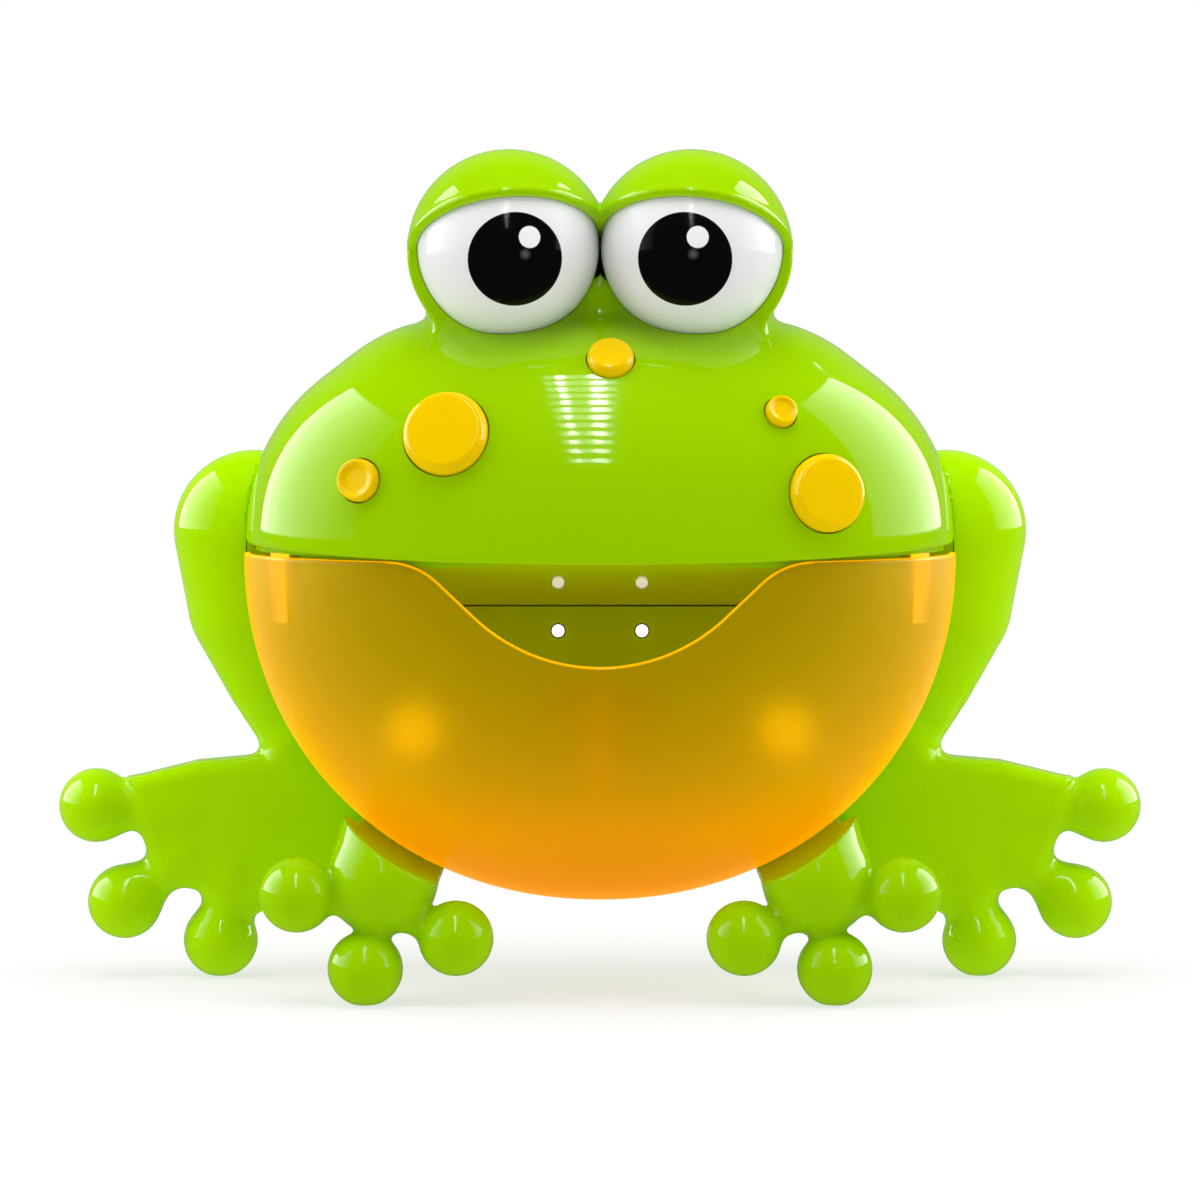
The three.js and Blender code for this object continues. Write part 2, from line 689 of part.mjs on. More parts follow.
// Gear train, all wheels with a tooth towards +X so that each pair is in mesh
function gearShape(teeth, bore) {
  const pitch = (gearModule * teeth) / 2;
  const step = (2 * Math.PI) / teeth;
  const points = [];
  for (let i = 0; i < teeth; i += 1) {
    const middle = i * step;
    const corners = [
      [-0.27, pitch - 1.2 * gearModule],
      [-0.09, pitch + 0.85 * gearModule],
      [0.09, pitch + 0.85 * gearModule],
      [0.27, pitch - 1.2 * gearModule],
    ];
    for (const [turn, radius] of corners) {
      const angle = middle + turn * step;
      points.push(new THREE.Vector2(radius * Math.cos(angle), radius * Math.sin(angle)));
    }
  }
  const shape = new THREE.Shape(points);
  if (bore > 0) shape.holes.push(new THREE.Path().absarc(0, 0, bore, 0, 2 * Math.PI));
  return shape;
}

function gear(teeth, bore, layer, x) {
  const depth = gearThick;
  const geometry = new THREE.ExtrudeGeometry(gearShape(teeth, bore), {
    depth, bevelEnabled: false, curveSegments: 6,
  });
  return solid(geometry.rotateX(Math.PI / 2).translate(x, gearLayer(layer) + depth, hubZ));
}

// A wheel and a pinion on one sleeve: the pinion sits one layer in front of the wheel.
function compoundGear(wheelLayer, x) {
  const bore = gearPinRadius + fit;
  const sleeveRadius = (gearModule * pinionTeeth) / 2 - 1.2 * gearModule;
  const sleeve = cut(
    bar(sleeveRadius, gearLayer(wheelLayer - 1) + gearThick / 2, gearLayer(wheelLayer) + gearThick / 2, x, hubZ),
    bar(bore, -far, far, x, hubZ),
  );
  return union(gear(wheelTeeth, bore, wheelLayer, x), gear(pinionTeeth, bore, wheelLayer - 1, x), sleeve);
}

add('first_gear', compoundGear(2, 2 * gearCentre), whitePlastic);
add('second_gear', compoundGear(1, gearCentre), whitePlastic);
const wiperBladeY = panelFrontY - nozzleReach - wiperThick - fit;
const wiper_gear = union(
  gear(wheelTeeth, 0, 0, 0),
  bar(wiperShaftRadius, wiperBladeY + wiperThick + fit, gearPlateY - fit, 0, hubZ),
);
add('wiper_gear', wiper_gear, whitePlastic);
const wiperArm = new THREE.Shape();
wiperArm.absarc(0, 0, wiperHubRadius, Math.PI, 2 * Math.PI, false);
wiperArm.lineTo(wiperWidth / 2, wiperReach - wiperWidth / 2);
wiperArm.absarc(0, wiperReach - wiperWidth / 2, wiperWidth / 2, 0, Math.PI, false);
wiperArm.closePath();
const armGeometry = new THREE.ExtrudeGeometry(wiperArm, { depth: wiperThick, bevelEnabled: false, curveSegments: 8 });
add('wiper_blade', solid(armGeometry.rotateX(Math.PI / 2).translate(0, wiperBladeY + wiperThick, hubZ)), yellowPlastic);

for (const n of [1, 2]) {
  const name = n === 2 ? 'first_gear_pin' : 'second_gear_pin';
  add(name, bar(gearPinRadius, panelBackY + fit, gearPlateY - fit, n * gearCentre, hubZ), steel);
}

const motor_pinion = union(
  gear(pinionTeeth, 0, 2, motorX),
  bar(motorShaftRadius, gearLayer(2), fanFrontY + fit, motorX, hubZ),
);
add('motor_pinion', motor_pinion, steel);
const shaftHole = bar(motorShaftRadius + fit, -far, far, motorX, hubZ);
add('motor', bar(motorRadius, motorFrontY, motorBackY, motorX, hubZ, 20).subtract(shaftHole), steel);

const platePosts = [-gearCentre, motorX + motorRadius].map((x) => ({ x, z: hubZ - gearPlateHalfHeight + platePostRadius }));
const gearPlateEnds = [platePosts[0].x - platePostRadius, platePosts[1].x + platePostRadius];
const gear_plate = cut(
  union(
    box(
      gearPlateEnds[0], gearPlateEnds[1], gearPlateY, gearPlateY + gearPlateThick,
      hubZ - gearPlateHalfHeight, hubZ + gearPlateHalfHeight,
    ),
    ...platePosts.map(({ x, z }) => bar(platePostRadius, panelBackY + fit, gearPlateY + gearPlateThick, x, z)),
  ),
  shaftHole,
);
add('gear_plate', gear_plate, greyPlastic);

// Fan
const blade = new THREE.BoxGeometry(1.2, fanThick, fanRadius - fanHubRadius + 1);
const blades = [];
for (let i = 0; i < fanBlades; i += 1) {
  const leaf = blade.clone().translate(0, fanFrontY + fanThick / 2, (fanRadius + fanHubRadius - 1) / 2);
  blades.push(solid(leaf.rotateY((2 * Math.PI * i) / fanBlades).translate(motorX, 0, hubZ)));
}
const fanBack = fanFrontY + fanThick;
const fan_impeller = cut(
  union(
    bar(fanHubRadius, fanFrontY, fanBack, motorX, hubZ),
    bar(fanRadius, fanBack - 1, fanBack, motorX, hubZ, 20),
    ...blades,
  ),
  bar(motorShaftRadius + fit, fanFrontY - 1, fanFrontY + 2 * fit, motorX, hubZ),
);
add('fan_impeller', fan_impeller, whitePlastic);

const housingBackY = backInnerY - fit;
const runLowZ = ductLowZ;
const runHighZ = ductLowZ + ductRunHeight;
const fan_housing = cut(
  bar(fanHousingRadius, fanHousingY, housingBackY, motorX, hubZ, 20),
  bar(fanHousingRadius - fanHousingWall, fanHousingY + fanHousingWall, far, motorX, hubZ, 20),
  bar(fanInletRadius, -far, far, motorX, hubZ),
  box(0, motorX, fanHousingY + fanHousingWall, far, runLowZ, runHighZ),
);
add('fan_housing', fan_housing, greyPlastic);

// Air duct: across from the fan, then forward to the nozzle
const runFrontY = fanHousingY + fanHousingWall;
const runBackY = housingBackY - ductWall;
const forwardOuter = box(
  -ductHalfWidth - ductWall, ductHalfWidth + ductWall, panelBackY + fit, housingBackY,
  ductLowZ - ductWall, ductHighZ + ductWall,
);
const acrossOuter = box(
  0, motorX, runFrontY - ductWall, housingBackY, runLowZ - ductWall, runHighZ + ductWall,
);
const air_duct = cut(
  union(forwardOuter, acrossOuter),
  box(-ductHalfWidth, ductHalfWidth, 0, runBackY, ductLowZ, ductHighZ),
  box(0, motorX + 1, runFrontY, runBackY, runLowZ, runHighZ),
  bar(fanHousingRadius + fit, -far, far, motorX, hubZ, 20),
);
add('air_duct', air_duct, greyPlastic);

// Nozzle: an arched slot round the wiper's hub
function arch(inner, outer, halfAngle, y0, y1) {
  const shape = new THREE.Shape();
  const [from, to] = [Math.PI / 2 - degrees(halfAngle), Math.PI / 2 + degrees(halfAngle)];
  shape.absarc(0, 0, outer, from, to, false);
  shape.absarc(0, 0, inner, to, from, true);
  shape.closePath();
  const geometry = new THREE.ExtrudeGeometry(shape, { depth: y1 - y0, bevelEnabled: false, curveSegments: 8 });
  return solid(geometry.rotateX(Math.PI / 2).translate(0, y1, hubZ));
}

const slotAngle = nozzleHalfAngle - 5;
const air_nozzle = cut(
  union(
    arch(nozzleInnerRadius - nozzleLip, nozzleOuterRadius + nozzleLip, nozzleHalfAngle + 4,
      panelFrontY - nozzleReach, panelFrontY - fit),
    arch(nozzleInnerRadius, nozzleOuterRadius, nozzleHalfAngle, panelFrontY - 2 * fit, panelFrontY + nozzleNeck),
  ),
  arch(nozzleInnerRadius + nozzleWall, nozzleOuterRadius - nozzleWall, slotAngle, -far, far),
);
add('air_nozzle', air_nozzle, orangeClear);

// Mouth panel
const panelInset = shellWall + fit;
const panelTopZ = mouthEdgeZ - roofDrop - fit;
const panelScrewPlaces = bothSides(panelScrews);
const lampPlaces = bothSides([{ x: mouthLampX, z: mouthLampZ }]);
const trayLampPlaces = bothSides([{ x: trayLampX, z: trayLampZ }]);
const mouth_panel = cut(
  slab(bodyShape(panelInset), panelFrontY, panelBackY).intersect(box(-far, far, -far, far, 0, panelTopZ)),
  arch(nozzleInnerRadius - fit, nozzleOuterRadius + fit, nozzleHalfAngle + 1.5, -far, far),
  bar(wiperShaftRadius + fit, -far, far, 0, hubZ),
  ...lampPlaces.map(({ x, z }) => bar(mouthLampRadius + fit, -far, far, x, z)),
  ...trayLampPlaces.map(({ x, z }) => bar(lampStemRadius + fit, -far, far, x, z)),
  ...panelScrewPlaces.map(({ x, z }) => bar(screwRadius + fit, -far, far, x, z)),
);
add('mouth_panel', mouth_panel, greenPlastic);

const lampEndY = panelBackY + fit + lampFlange;
const mouthLamp = turned([
  [0, panelFrontY - mouthLampRadius * 0.6],
  [mouthLampRadius * 0.7, panelFrontY - mouthLampRadius * 0.4],
  [mouthLampRadius, panelFrontY],
  [mouthLampRadius, panelBackY + fit],
  [mouthLampRadius + lampFlange, panelBackY + fit],
  [mouthLampRadius + lampFlange, lampEndY],
  [0, lampEndY],
], 12);
addPair('mouth_lamp', solid(mouthLamp.translate(mouthLampX, 0, mouthLampZ)), lampWhite);
const trayLamp = turned([
  [0, panelFrontY - fit - trayLampThick],
  [trayLampRadius * 0.8, panelFrontY - fit - trayLampThick],
  [trayLampRadius, panelFrontY - fit - trayLampThick * 0.5],
  [trayLampRadius, panelFrontY - fit],
  [lampStemRadius, panelFrontY - fit],
  [lampStemRadius, lampEndY],
  [0, lampEndY],
], 16);
addPair('tray_lamp', solid(trayLamp.translate(trayLampX, 0, trayLampZ)), lampWhite);

// Back shell
const backOuter = slab(bodyShape(0), -2 * backEdge, backDepth, backEdge, 2);
const backHollow = slab(bodyShape(shellWall), -2 * backEdge, backInnerY, backEdge - shellWall, 1);
const eyeBack = (side, inset) => {
  const profile = [
    [0, -backEdge],
    [eyeBulgeRadius - inset, -backEdge],
    [eyeBulgeRadius - inset, backDepth - backEdge - inset],
    [eyeBulgeRadius - 0.3 * backEdge - inset, backDepth - 0.3 * backEdge - inset],
    [eyeBulgeRadius - backEdge - inset, backDepth - inset],
    [0, backDepth - inset],
  ];
  return solid(turned(profile, eyeSides).translate(side * eyeX, 0, eyeZ));
};
const backRoom = box(-far, far, 0, far, 0, far);
const casePosts = caseScrewPlaces.map(({ x, z }) => bar(casePostRadius, fit, backInnerY + fit, x, z));
const panelPosts = panelScrewPlaces.map(({ x, z }) => bar(screwRadius + fit + 2 * postWall, panelBackY + fit, backInnerY + fit, x, z));
const screwBores = [
  ...caseScrewPlaces.flatMap(({ x, z }) => [
    bar(caseHole, -1, backDepth, x, z),
    bar(screwHeadRadius + fit, caseScrewHeadY, far, x, z),
  ]),
  ...panelScrewPlaces.map(({ x, z }) => bar(caseHole, 0, panelFrontY + screwLength, x, z)),
];
const cupPlaces = bothSides([upperCup, lowerCup]);
const cupHoles = cupPlaces.map(({ x, z }) => bar(cupNeckRadius + fit, backInnerY - 1, far, x, z));
const doorHole = box(
  -boxHalfWidth - boxWall - fit, boxHalfWidth + boxWall + fit, backInnerY - 1, far,
  cellMiddleZ - boxHalfHeight - boxWall - fit, cellMiddleZ + boxHalfHeight + boxWall + fit,
);
const grille = [];
for (let i = 0; i < grilleSlots; i += 1) {
  const x = speakerX + (i - (grilleSlots - 1) / 2) * grillePitch;
  const half = Math.sqrt((speakerRadius - 4) ** 2 - (x - speakerX) ** 2);
  grille.push(box(x - grilleWidth / 2, x + grilleWidth / 2, backInnerY - 1, far, speakerZ - half, speakerZ + half));
}
const hindPegHole = (side, grow) => {
  const geometry = new THREE.CylinderGeometry(pegRadius + grow, pegRadius + grow, 2 * pegReach, 12);
  return solid(geometry.rotateZ(Math.PI / 2).translate(side * (bodyHalfWidth - shellWall), hindLegY, hindPegZ));
};
const frontPegHole = (side, grow) => {
  const geometry = new THREE.CylinderGeometry(pegRadius + grow, pegRadius + grow, 2 * pegReach, 12);
  return solid(geometry.rotateX(Math.PI / 2).translate(side * frontPeg.x, frontPeg.y, bellyZ(frontPeg.x)));
};
const pegHoles = [1, -1].flatMap((side) => [hindPegHole(side, fit), frontPegHole(side, fit)]);
const backHollows = union(backHollow, eyeBack(1, shellWall), eyeBack(-1, shellWall));
const backBridge = eyeBridge(-backEdge, backDepth - backEdge);
const backSkin = union(backOuter, eyeBack(1, 0), eyeBack(-1, 0), backBridge);
const backWalls = cut(backSkin.intersect(backRoom), backHollows);
const back_shell = cut(
  union(backWalls, ...casePosts, ...panelPosts),
  ...screwBores, ...cupHoles, doorHole, ...grille, ...pegHoles,
);
add('back_shell', back_shell, greenPlastic);

// Screws
function screw(headY, x, z, towards) {
  const ends = [headY, headY + towards * screwLength].sort((a, b) => a - b);
  const headEnds = [headY, headY - towards * screwHead].sort((a, b) => a - b);
  return union(bar(screwHeadRadius, headEnds[0], headEnds[1], x, z), bar(screwRadius, ends[0], ends[1], x, z));
}
caseScrews.forEach(({ x, z }, i) => addPair(`case_screw_${i + 1}`, screw(caseScrewHeadY + fit, x, z, -1), steel));
panelScrews.forEach(({ x, z }, i) => addPair(`panel_screw_${i + 1}`, screw(panelFrontY - fit, x, z, 1), steel));

// Suction cups
const cupBaseY = backDepth + fit;
const cupRimY = backDepth + cupHeight;
const cupProfile = [
  [0, backInnerY - fit - 3],
  [cupKnobRadius - 1.4, backInnerY - fit - 3],
  [cupKnobRadius, backInnerY - fit],
  [cupNeckRadius, backInnerY - fit],
  [cupNeckRadius, cupBaseY],
  [2.2 * cupNeckRadius, cupBaseY],
  [2.4 * cupNeckRadius, cupBaseY + 0.3 * cupHeight],
  [0.72 * cupRadius, cupBaseY + 0.5 * cupHeight],
  [cupRadius, cupRimY - 1],
  [cupRadius, cupRimY],
  [cupRadius - cupRim, cupRimY],
  [0.68 * cupRadius, cupBaseY + 0.5 * cupHeight + 1.2 * cupWall],
  [1.6 * cupNeckRadius, cupBaseY + 0.3 * cupHeight + 1.6 * cupWall],
  [0, cupBaseY + 0.3 * cupHeight + 1.6 * cupWall],
];
for (const [name, { x, z }] of Object.entries({ upper_suction_cup: upperCup, lower_suction_cup: lowerCup })) {
  addPair(name, solid(turned(cupProfile, 16).translate(x, 0, z)), clearRubber);
}

// Battery box, cells, contacts and door
const boxOutside = box(
  -boxHalfWidth - boxWall, boxHalfWidth + boxWall, boxFrontY, backDepth - fit,
  cellMiddleZ - boxHalfHeight - boxWall, cellMiddleZ + boxHalfHeight + boxWall,
);
const boxInside = box(
  -boxHalfWidth, boxHalfWidth, boxFrontY + boxWall, far,
  cellMiddleZ - boxHalfHeight, cellMiddleZ + boxHalfHeight,
);
add('battery_box', cut(boxOutside, boxInside), greenPlastic);
const cellProfile = [
  [0, -cellLength / 2],
  [cellRadius - 0.8, -cellLength / 2],
  [cellRadius, -cellLength / 2 + 0.8],
  [cellRadius, cellLength / 2 - 0.8],
  [cellRadius - 0.8, cellLength / 2],
  [cellNubRadius, cellLength / 2],
  [cellNubRadius, cellLength / 2 + cellNub],
  [0, cellLength / 2 + cellNub],
];
const cellHeights = [-1, 0, 1].map((n) => cellMiddleZ + n * cellPitch);
cellHeights.forEach((z, i) => {
  const turn = i % 2 === 0 ? -Math.PI / 2 : Math.PI / 2;
  add(`battery_${i + 1}`, solid(turned(cellProfile, 14).rotateZ(turn).translate(0, cellY, z)), cellWrap);
});
function contactStrip(side) {
  const wallX = boxHalfWidth - fit;
  const strip = box(
    wallX - contactThick, wallX, cellY - cellNubRadius, cellY + cellNubRadius,
    cellHeights[0] - cellNubRadius, cellHeights[2] + cellNubRadius,
  );
  const tips = cellHeights.map((z, i) => {
    const meetsNub = (i % 2 === 0) === (side > 0);
    const tipX = cellLength / 2 + (meetsNub ? cellNub : 0) + fit;
    return solid(new THREE.CylinderGeometry(cellNubRadius, cellNubRadius * 0.7, wallX - tipX, 8)
      .rotateZ(-Math.PI / 2).translate((wallX + tipX) / 2, cellY, z));
  });
  return union(strip, ...tips);
}
add('right_contact_strip', contactStrip(1), steel);
add('left_contact_strip', solid(mirrored(geometryOf(contactStrip(-1)))), steel);

const doorScrewZ = cellMiddleZ + boxHalfHeight - 2 * screwHeadRadius;
const battery_door = cut(
  box(
    -boxHalfWidth + fit, boxHalfWidth - fit, doorFrontY, backDepth,
    cellMiddleZ - boxHalfHeight + fit, cellMiddleZ + boxHalfHeight - fit,
  ),
  bar(screwHeadRadius + fit, backDepth - screwHead + fit, far, 0, doorScrewZ),
);
add('battery_door', battery_door, greenPlastic);
add('door_screw', bar(screwHeadRadius, backDepth - screwHead + 2 * fit, backDepth, 0, doorScrewZ), steel);

// Speaker against the back wall
const speakerBackY = backInnerY - fit;
const speaker = turned([
  [0, speakerBackY - speakerDepth],
  [0.5 * speakerRadius, speakerBackY - speakerDepth],
  [0.5 * speakerRadius, speakerBackY - 0.55 * speakerDepth],
  [speakerRadius - 1, speakerBackY - 0.25 * speakerDepth],
  [speakerRadius, speakerBackY - 0.25 * speakerDepth],
  [speakerRadius, speakerBackY],
  [speakerRadius - 2, speakerBackY],
  [0.4 * speakerRadius, speakerBackY - 0.3 * speakerDepth],
  [0, speakerBackY - 0.2 * speakerDepth],
], 16);
add('speaker', solid(speaker.translate(speakerX, 0, speakerZ)), blackPlastic);

// Legs: an outline of the webbed foot, ball toes and a tapered limb, cleared from the body
const floorRoom = box(-far, far, -far, far, 0, far);
const shellKeepOut = slab(bodyShape(-fit), -fit / 2, far);
const trayKeepOut = slab(bellyShape(-saddleGap), -far, fit);

const webShape = (points, x0) => new THREE.Shape(points.map(([out, z]) => new THREE.Vector2(x0 + out, z)));
const frontWeb = webShape(frontWebPoints, frontPeg.x);
const hindWeb = webShape(hindWebPoints, bodyHalfWidth);
const legBall = ({ out, y, z, radius }, x0) => ({ x: x0 + out, y, z, radius });

const front_leg = cut(
  union(
    slab(frontWeb, frontToeY - frontWebThick / 2, frontToeY + frontWebThick / 2, webBevel),
    ...frontToes.map(({ out, z }) => ball(frontToeRadius, frontPeg.x + out, frontToeY, z)),
    solid(taper(legBall(frontLegFoot, frontPeg.x), legBall(frontLegTop, frontPeg.x))),
  ),
  shellKeepOut,
  trayKeepOut,
).intersect(floorRoom);
const frontLegPeg = frontPegHole(1, 0).subtract(box(-far, far, -far, far, 0, bellyZ(frontPeg.x) - pegReach + 1));
addPair('front_leg', union(front_leg, frontLegPeg), greenPlastic);

const thigh = taper(legBall({ ...thighTop, y: 0 }, bodyHalfWidth), legBall({ ...thighEnd, y: 0 }, bodyHalfWidth));
const hind_leg = cut(
  union(
    slab(hindWeb, hindLegY - hindWebThick / 2, hindLegY + hindWebThick / 2, webBevel),
    ...hindToes.map(({ out, z }) => ball(hindToeRadius, bodyHalfWidth + out, hindLegY, z)),
    solid(thigh.scale(1, thighDepth, 1).translate(0, hindLegY, 0)),
  ),
  shellKeepOut,
).intersect(floorRoom);
addPair('hind_leg', union(hind_leg, hindPegHole(1, 0)), greenPlastic);

export default frog;
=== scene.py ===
import json
import math

import bmesh
import bpy
import numpy as np
from mathutils import Matrix, Vector


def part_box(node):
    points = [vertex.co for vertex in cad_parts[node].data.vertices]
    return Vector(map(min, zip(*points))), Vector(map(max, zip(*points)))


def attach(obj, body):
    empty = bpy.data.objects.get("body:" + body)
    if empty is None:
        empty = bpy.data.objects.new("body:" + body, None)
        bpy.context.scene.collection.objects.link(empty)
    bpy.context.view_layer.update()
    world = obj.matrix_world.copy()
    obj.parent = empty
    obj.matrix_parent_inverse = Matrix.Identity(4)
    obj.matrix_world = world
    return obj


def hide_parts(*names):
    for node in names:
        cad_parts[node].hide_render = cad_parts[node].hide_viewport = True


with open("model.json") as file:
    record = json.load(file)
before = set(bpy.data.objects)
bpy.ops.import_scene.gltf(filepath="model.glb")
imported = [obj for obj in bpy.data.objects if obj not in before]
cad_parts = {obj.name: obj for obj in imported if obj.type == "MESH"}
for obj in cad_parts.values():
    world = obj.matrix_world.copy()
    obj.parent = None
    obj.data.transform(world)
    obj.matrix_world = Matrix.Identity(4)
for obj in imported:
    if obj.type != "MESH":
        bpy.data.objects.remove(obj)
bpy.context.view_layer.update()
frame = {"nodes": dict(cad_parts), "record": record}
scene = bpy.context.scene
mm = 0.001  # shapes below are written in millimetres

# head and belly outline shared by the shells, the tray and the legs
bodySize = dict(
    mouthEdge=120.3, halfWidth=96.6, depth=55.0, headHeight=66.0, headPower=2.4,
    bellyHeight=96.3, bellyPower=2.08, wall=2.2, backDepth=43.0, backRound=6.0,
    full=2.1, fullFrom=168.0, fullTo=181.0, shoulderFrom=36.0, shoulderTo=54.0,
)
eyeSize = dict(
    x=24.4, y=-20.0, z=201.3, bulge=27.3, ballX=24.6, ballZ=202.6, ball=24.4, ballWall=2.0, seat=0.15,
    socketLip=1.5, lidTilt=29.0, lidRoll=6.0, lidRise=1.4, lidEdge=1.0, bulgeFillet=6.0,
    lipRing=25.2, lip=1.45, rimBall=23.8, collar=2.0, gapDepth=12.0, gapWidth=6.0,
    bridge=9.5, bridgeDrop=11.5, bridgeFront=-19.0, tail=60.0, seatSteps=49, seatSides=96,
    lipSit=0.6, lipBack=1.0, lipFade=1.5, lipBlend=0.8, rimBlend=0.6, eyesBlend=1.2, bridgeBlend=4.0,
)
netLook = dict(settle=4, flattest=0.05, stride=0.5, room=3.0, topRoom=4.0)
shadeLook = dict(crease=38, onField=0.05, agree=30)
cornerShare = 0.45  # the most of a line's length that a rounded corner takes


# fields: negative inside, roughly millimetres near the surface

def superDist(points, centre, axes, power):
    q = np.maximum(np.abs((points - np.array(centre)) / np.array(axes)), 1e-6)
    reach = (q ** power).sum(-1) ** (1 / power)
    slope = reach[..., None] ** (1 - power) * q ** (power - 1) / np.array(axes)
    return (reach - 1) / np.linalg.norm(slope, axis=-1)


def softMin(a, b, round):
    share = np.clip(0.5 + 0.5 * (b - a) / round, 0, 1)
    return b + (a - b) * share - round * share * (1 - share)


def softMax(a, b, round):
    return -softMin(-a, -b, round)


# two balls and the cone that touches both
def roundCone(points, start, end, startRadius, endRadius):
    start, end = np.array(start, float), np.array(end, float)
    length = np.linalg.norm(end - start)
    axis = (end - start) / length
    away = points - start
    along = away @ axis
    out = np.sqrt(np.maximum((away ** 2).sum(1) - along ** 2, 0))
    lean = (startRadius - endRadius) / length
    rise = math.sqrt(1 - lean ** 2)
    foot = np.clip(along - out * lean / rise, 0, length)
    return np.hypot(along - foot, out) - (startRadius + (endRadius - startRadius) * foot / length)


def smoothStep(value, start, end):
    t = np.clip((value - start) / (end - start), 0, 1)
    return t * t * (3 - 2 * t)


# the head's shoulders are a little fuller than the plain curve
def lowered(x, z):
    b = bodySize
    high = smoothStep(z, b["fullFrom"], b["fullTo"])
    return z - b["full"] * high * smoothStep(np.abs(x), b["shoulderFrom"], b["shoulderTo"])


def bodyOutline(points):
    b = bodySize
    xz = np.stack([points[:, 0], lowered(points[:, 0], points[:, 2])], 1)
    centre = (0, b["mouthEdge"])
    head = superDist(xz, centre, (b["halfWidth"], b["headHeight"]), b["headPower"])
    belly = superDist(xz, centre, (b["halfWidth"], b["bellyHeight"]), b["bellyPower"])
    return np.where(xz[:, 1] > b["mouthEdge"], head, belly)


def gradient(field, points, reach=0.02):
    slopes = []
    for axis in range(3):
        nudge = np.zeros(3)
        nudge[axis] = reach
        slopes.append((field(points + nudge) - field(points - nudge)) / (2 * reach))
    return np.stack(slopes, 1)


# a quad mesh of a field's surface: one point per crossed cell, settled onto the surface
def netSurface(field, low, high, step):
    low, high = np.array(low, float), np.array(high, float)
    counts = np.ceil((high - low) / step).astype(int) + 1
    ticks = [low[k] + step * np.arange(counts[k]) for k in range(3)]
    grid = np.stack(np.meshgrid(*ticks, indexing="ij"), -1).reshape(-1, 3)
    value = field(grid).reshape(counts)
    for axis in range(3):
        side = np.moveaxis(value, axis, 0)
        side[0] = np.maximum(side[0], step)
        side[-1] = np.maximum(side[-1], step)
    inside = value < 0
    cells = tuple(counts - 1)
    sums, hits = np.zeros(cells + (3,)), np.zeros(cells)
    for axis in range(3):
        v, s = np.moveaxis(value, axis, 0), np.moveaxis(inside, axis, 0)
        crossed = s[:-1] != s[1:]
        share = np.where(crossed, v[:-1] / np.where(crossed, v[:-1] - v[1:], 1), 0)
        others = [k for k in range(3) if k != axis]
        for a in (0, 1):
            for b in (0, 1):
                part = np.s_[:, a:a + cells[others[0]], b:b + cells[others[1]]]
                hit = np.moveaxis(crossed[part], 0, axis)
                sums[..., axis] += np.moveaxis(share[part], 0, axis)
                sums[..., others[0]] += hit * a
                sums[..., others[1]] += hit * b
                hits += hit
    used = hits > 0
    number = np.full(cells, -1)
    number[used] = np.arange(used.sum())
    points = low + step * (np.argwhere(used) + sums[used] / hits[used][:, None])
    faces = []
    for axis in range(3):
        s, n = np.moveaxis(inside, axis, 0), np.moveaxis(number, axis, 0)
        lower = s[:-1, 1:-1, 1:-1]
        i, j, k = np.nonzero(lower != s[1:, 1:-1, 1:-1])
        quads = np.stack([n[i, j, k], n[i, j + 1, k], n[i, j + 1, k + 1], n[i, j, k + 1]], 1)
        turnOver = lower[i, j, k] == (axis == 1)
        quads[turnOver] = quads[turnOver][:, ::-1]
        faces.append(quads)
    stride = netLook["stride"] * step
    for _ in range(netLook["settle"]):
        slope = gradient(field, points)
        move = (field(points) / np.maximum((slope ** 2).sum(1), netLook["flattest"]))[:, None] * slope
        points = points - np.clip(move, -stride, stride)
    return points, np.concatenate(faces)


def meshObject(name, points, faces):
    mesh = bpy.data.meshes.new(name)
    mesh.from_pydata((np.array(points, float) * mm).tolist(), [], [list(map(int, f)) for f in faces])
    mesh.validate()
    obj = bpy.data.objects.new(name, mesh)
    scene.collection.objects.link(obj)
    return obj


def faceOutward(obj):
    shape = bmesh.new()
    shape.from_mesh(obj.data)
    bmesh.ops.recalc_face_normals(shape, faces=shape.faces)
    shape.to_mesh(obj.data)
    shape.free()
    return obj


def bakeModifiers(obj):
    shape = obj.evaluated_get(bpy.context.evaluated_depsgraph_get())
    mesh = bpy.data.meshes.new_from_object(shape)
    old = obj.data
    obj.modifiers.clear()
    obj.data = mesh
    mesh.name = obj.name
    bpy.data.meshes.remove(old)


def combine(obj, tool, operation):
    step = obj.modifiers.new(operation.lower(), "BOOLEAN")
    step.operation, step.solver, step.object = operation, "MANIFOLD", tool
    before = len(obj.data.vertices)
    bakeModifiers(obj)
    if len(obj.data.vertices) == before:
        print("no change:", obj.name, operation, tool.name)
    mesh = tool.data
    bpy.data.objects.remove(tool)
    bpy.data.meshes.remove(mesh)
    return obj


def cutAway(obj, tool):
    return combine(obj, tool, "DIFFERENCE")


def joinOn(obj, tool):
    return combine(obj, tool, "UNION")


def meshPoints(mesh):
    points = np.zeros(len(mesh.vertices) * 3)
    mesh.vertices.foreach_get("co", points)
    return points.reshape(-1, 3) / mm


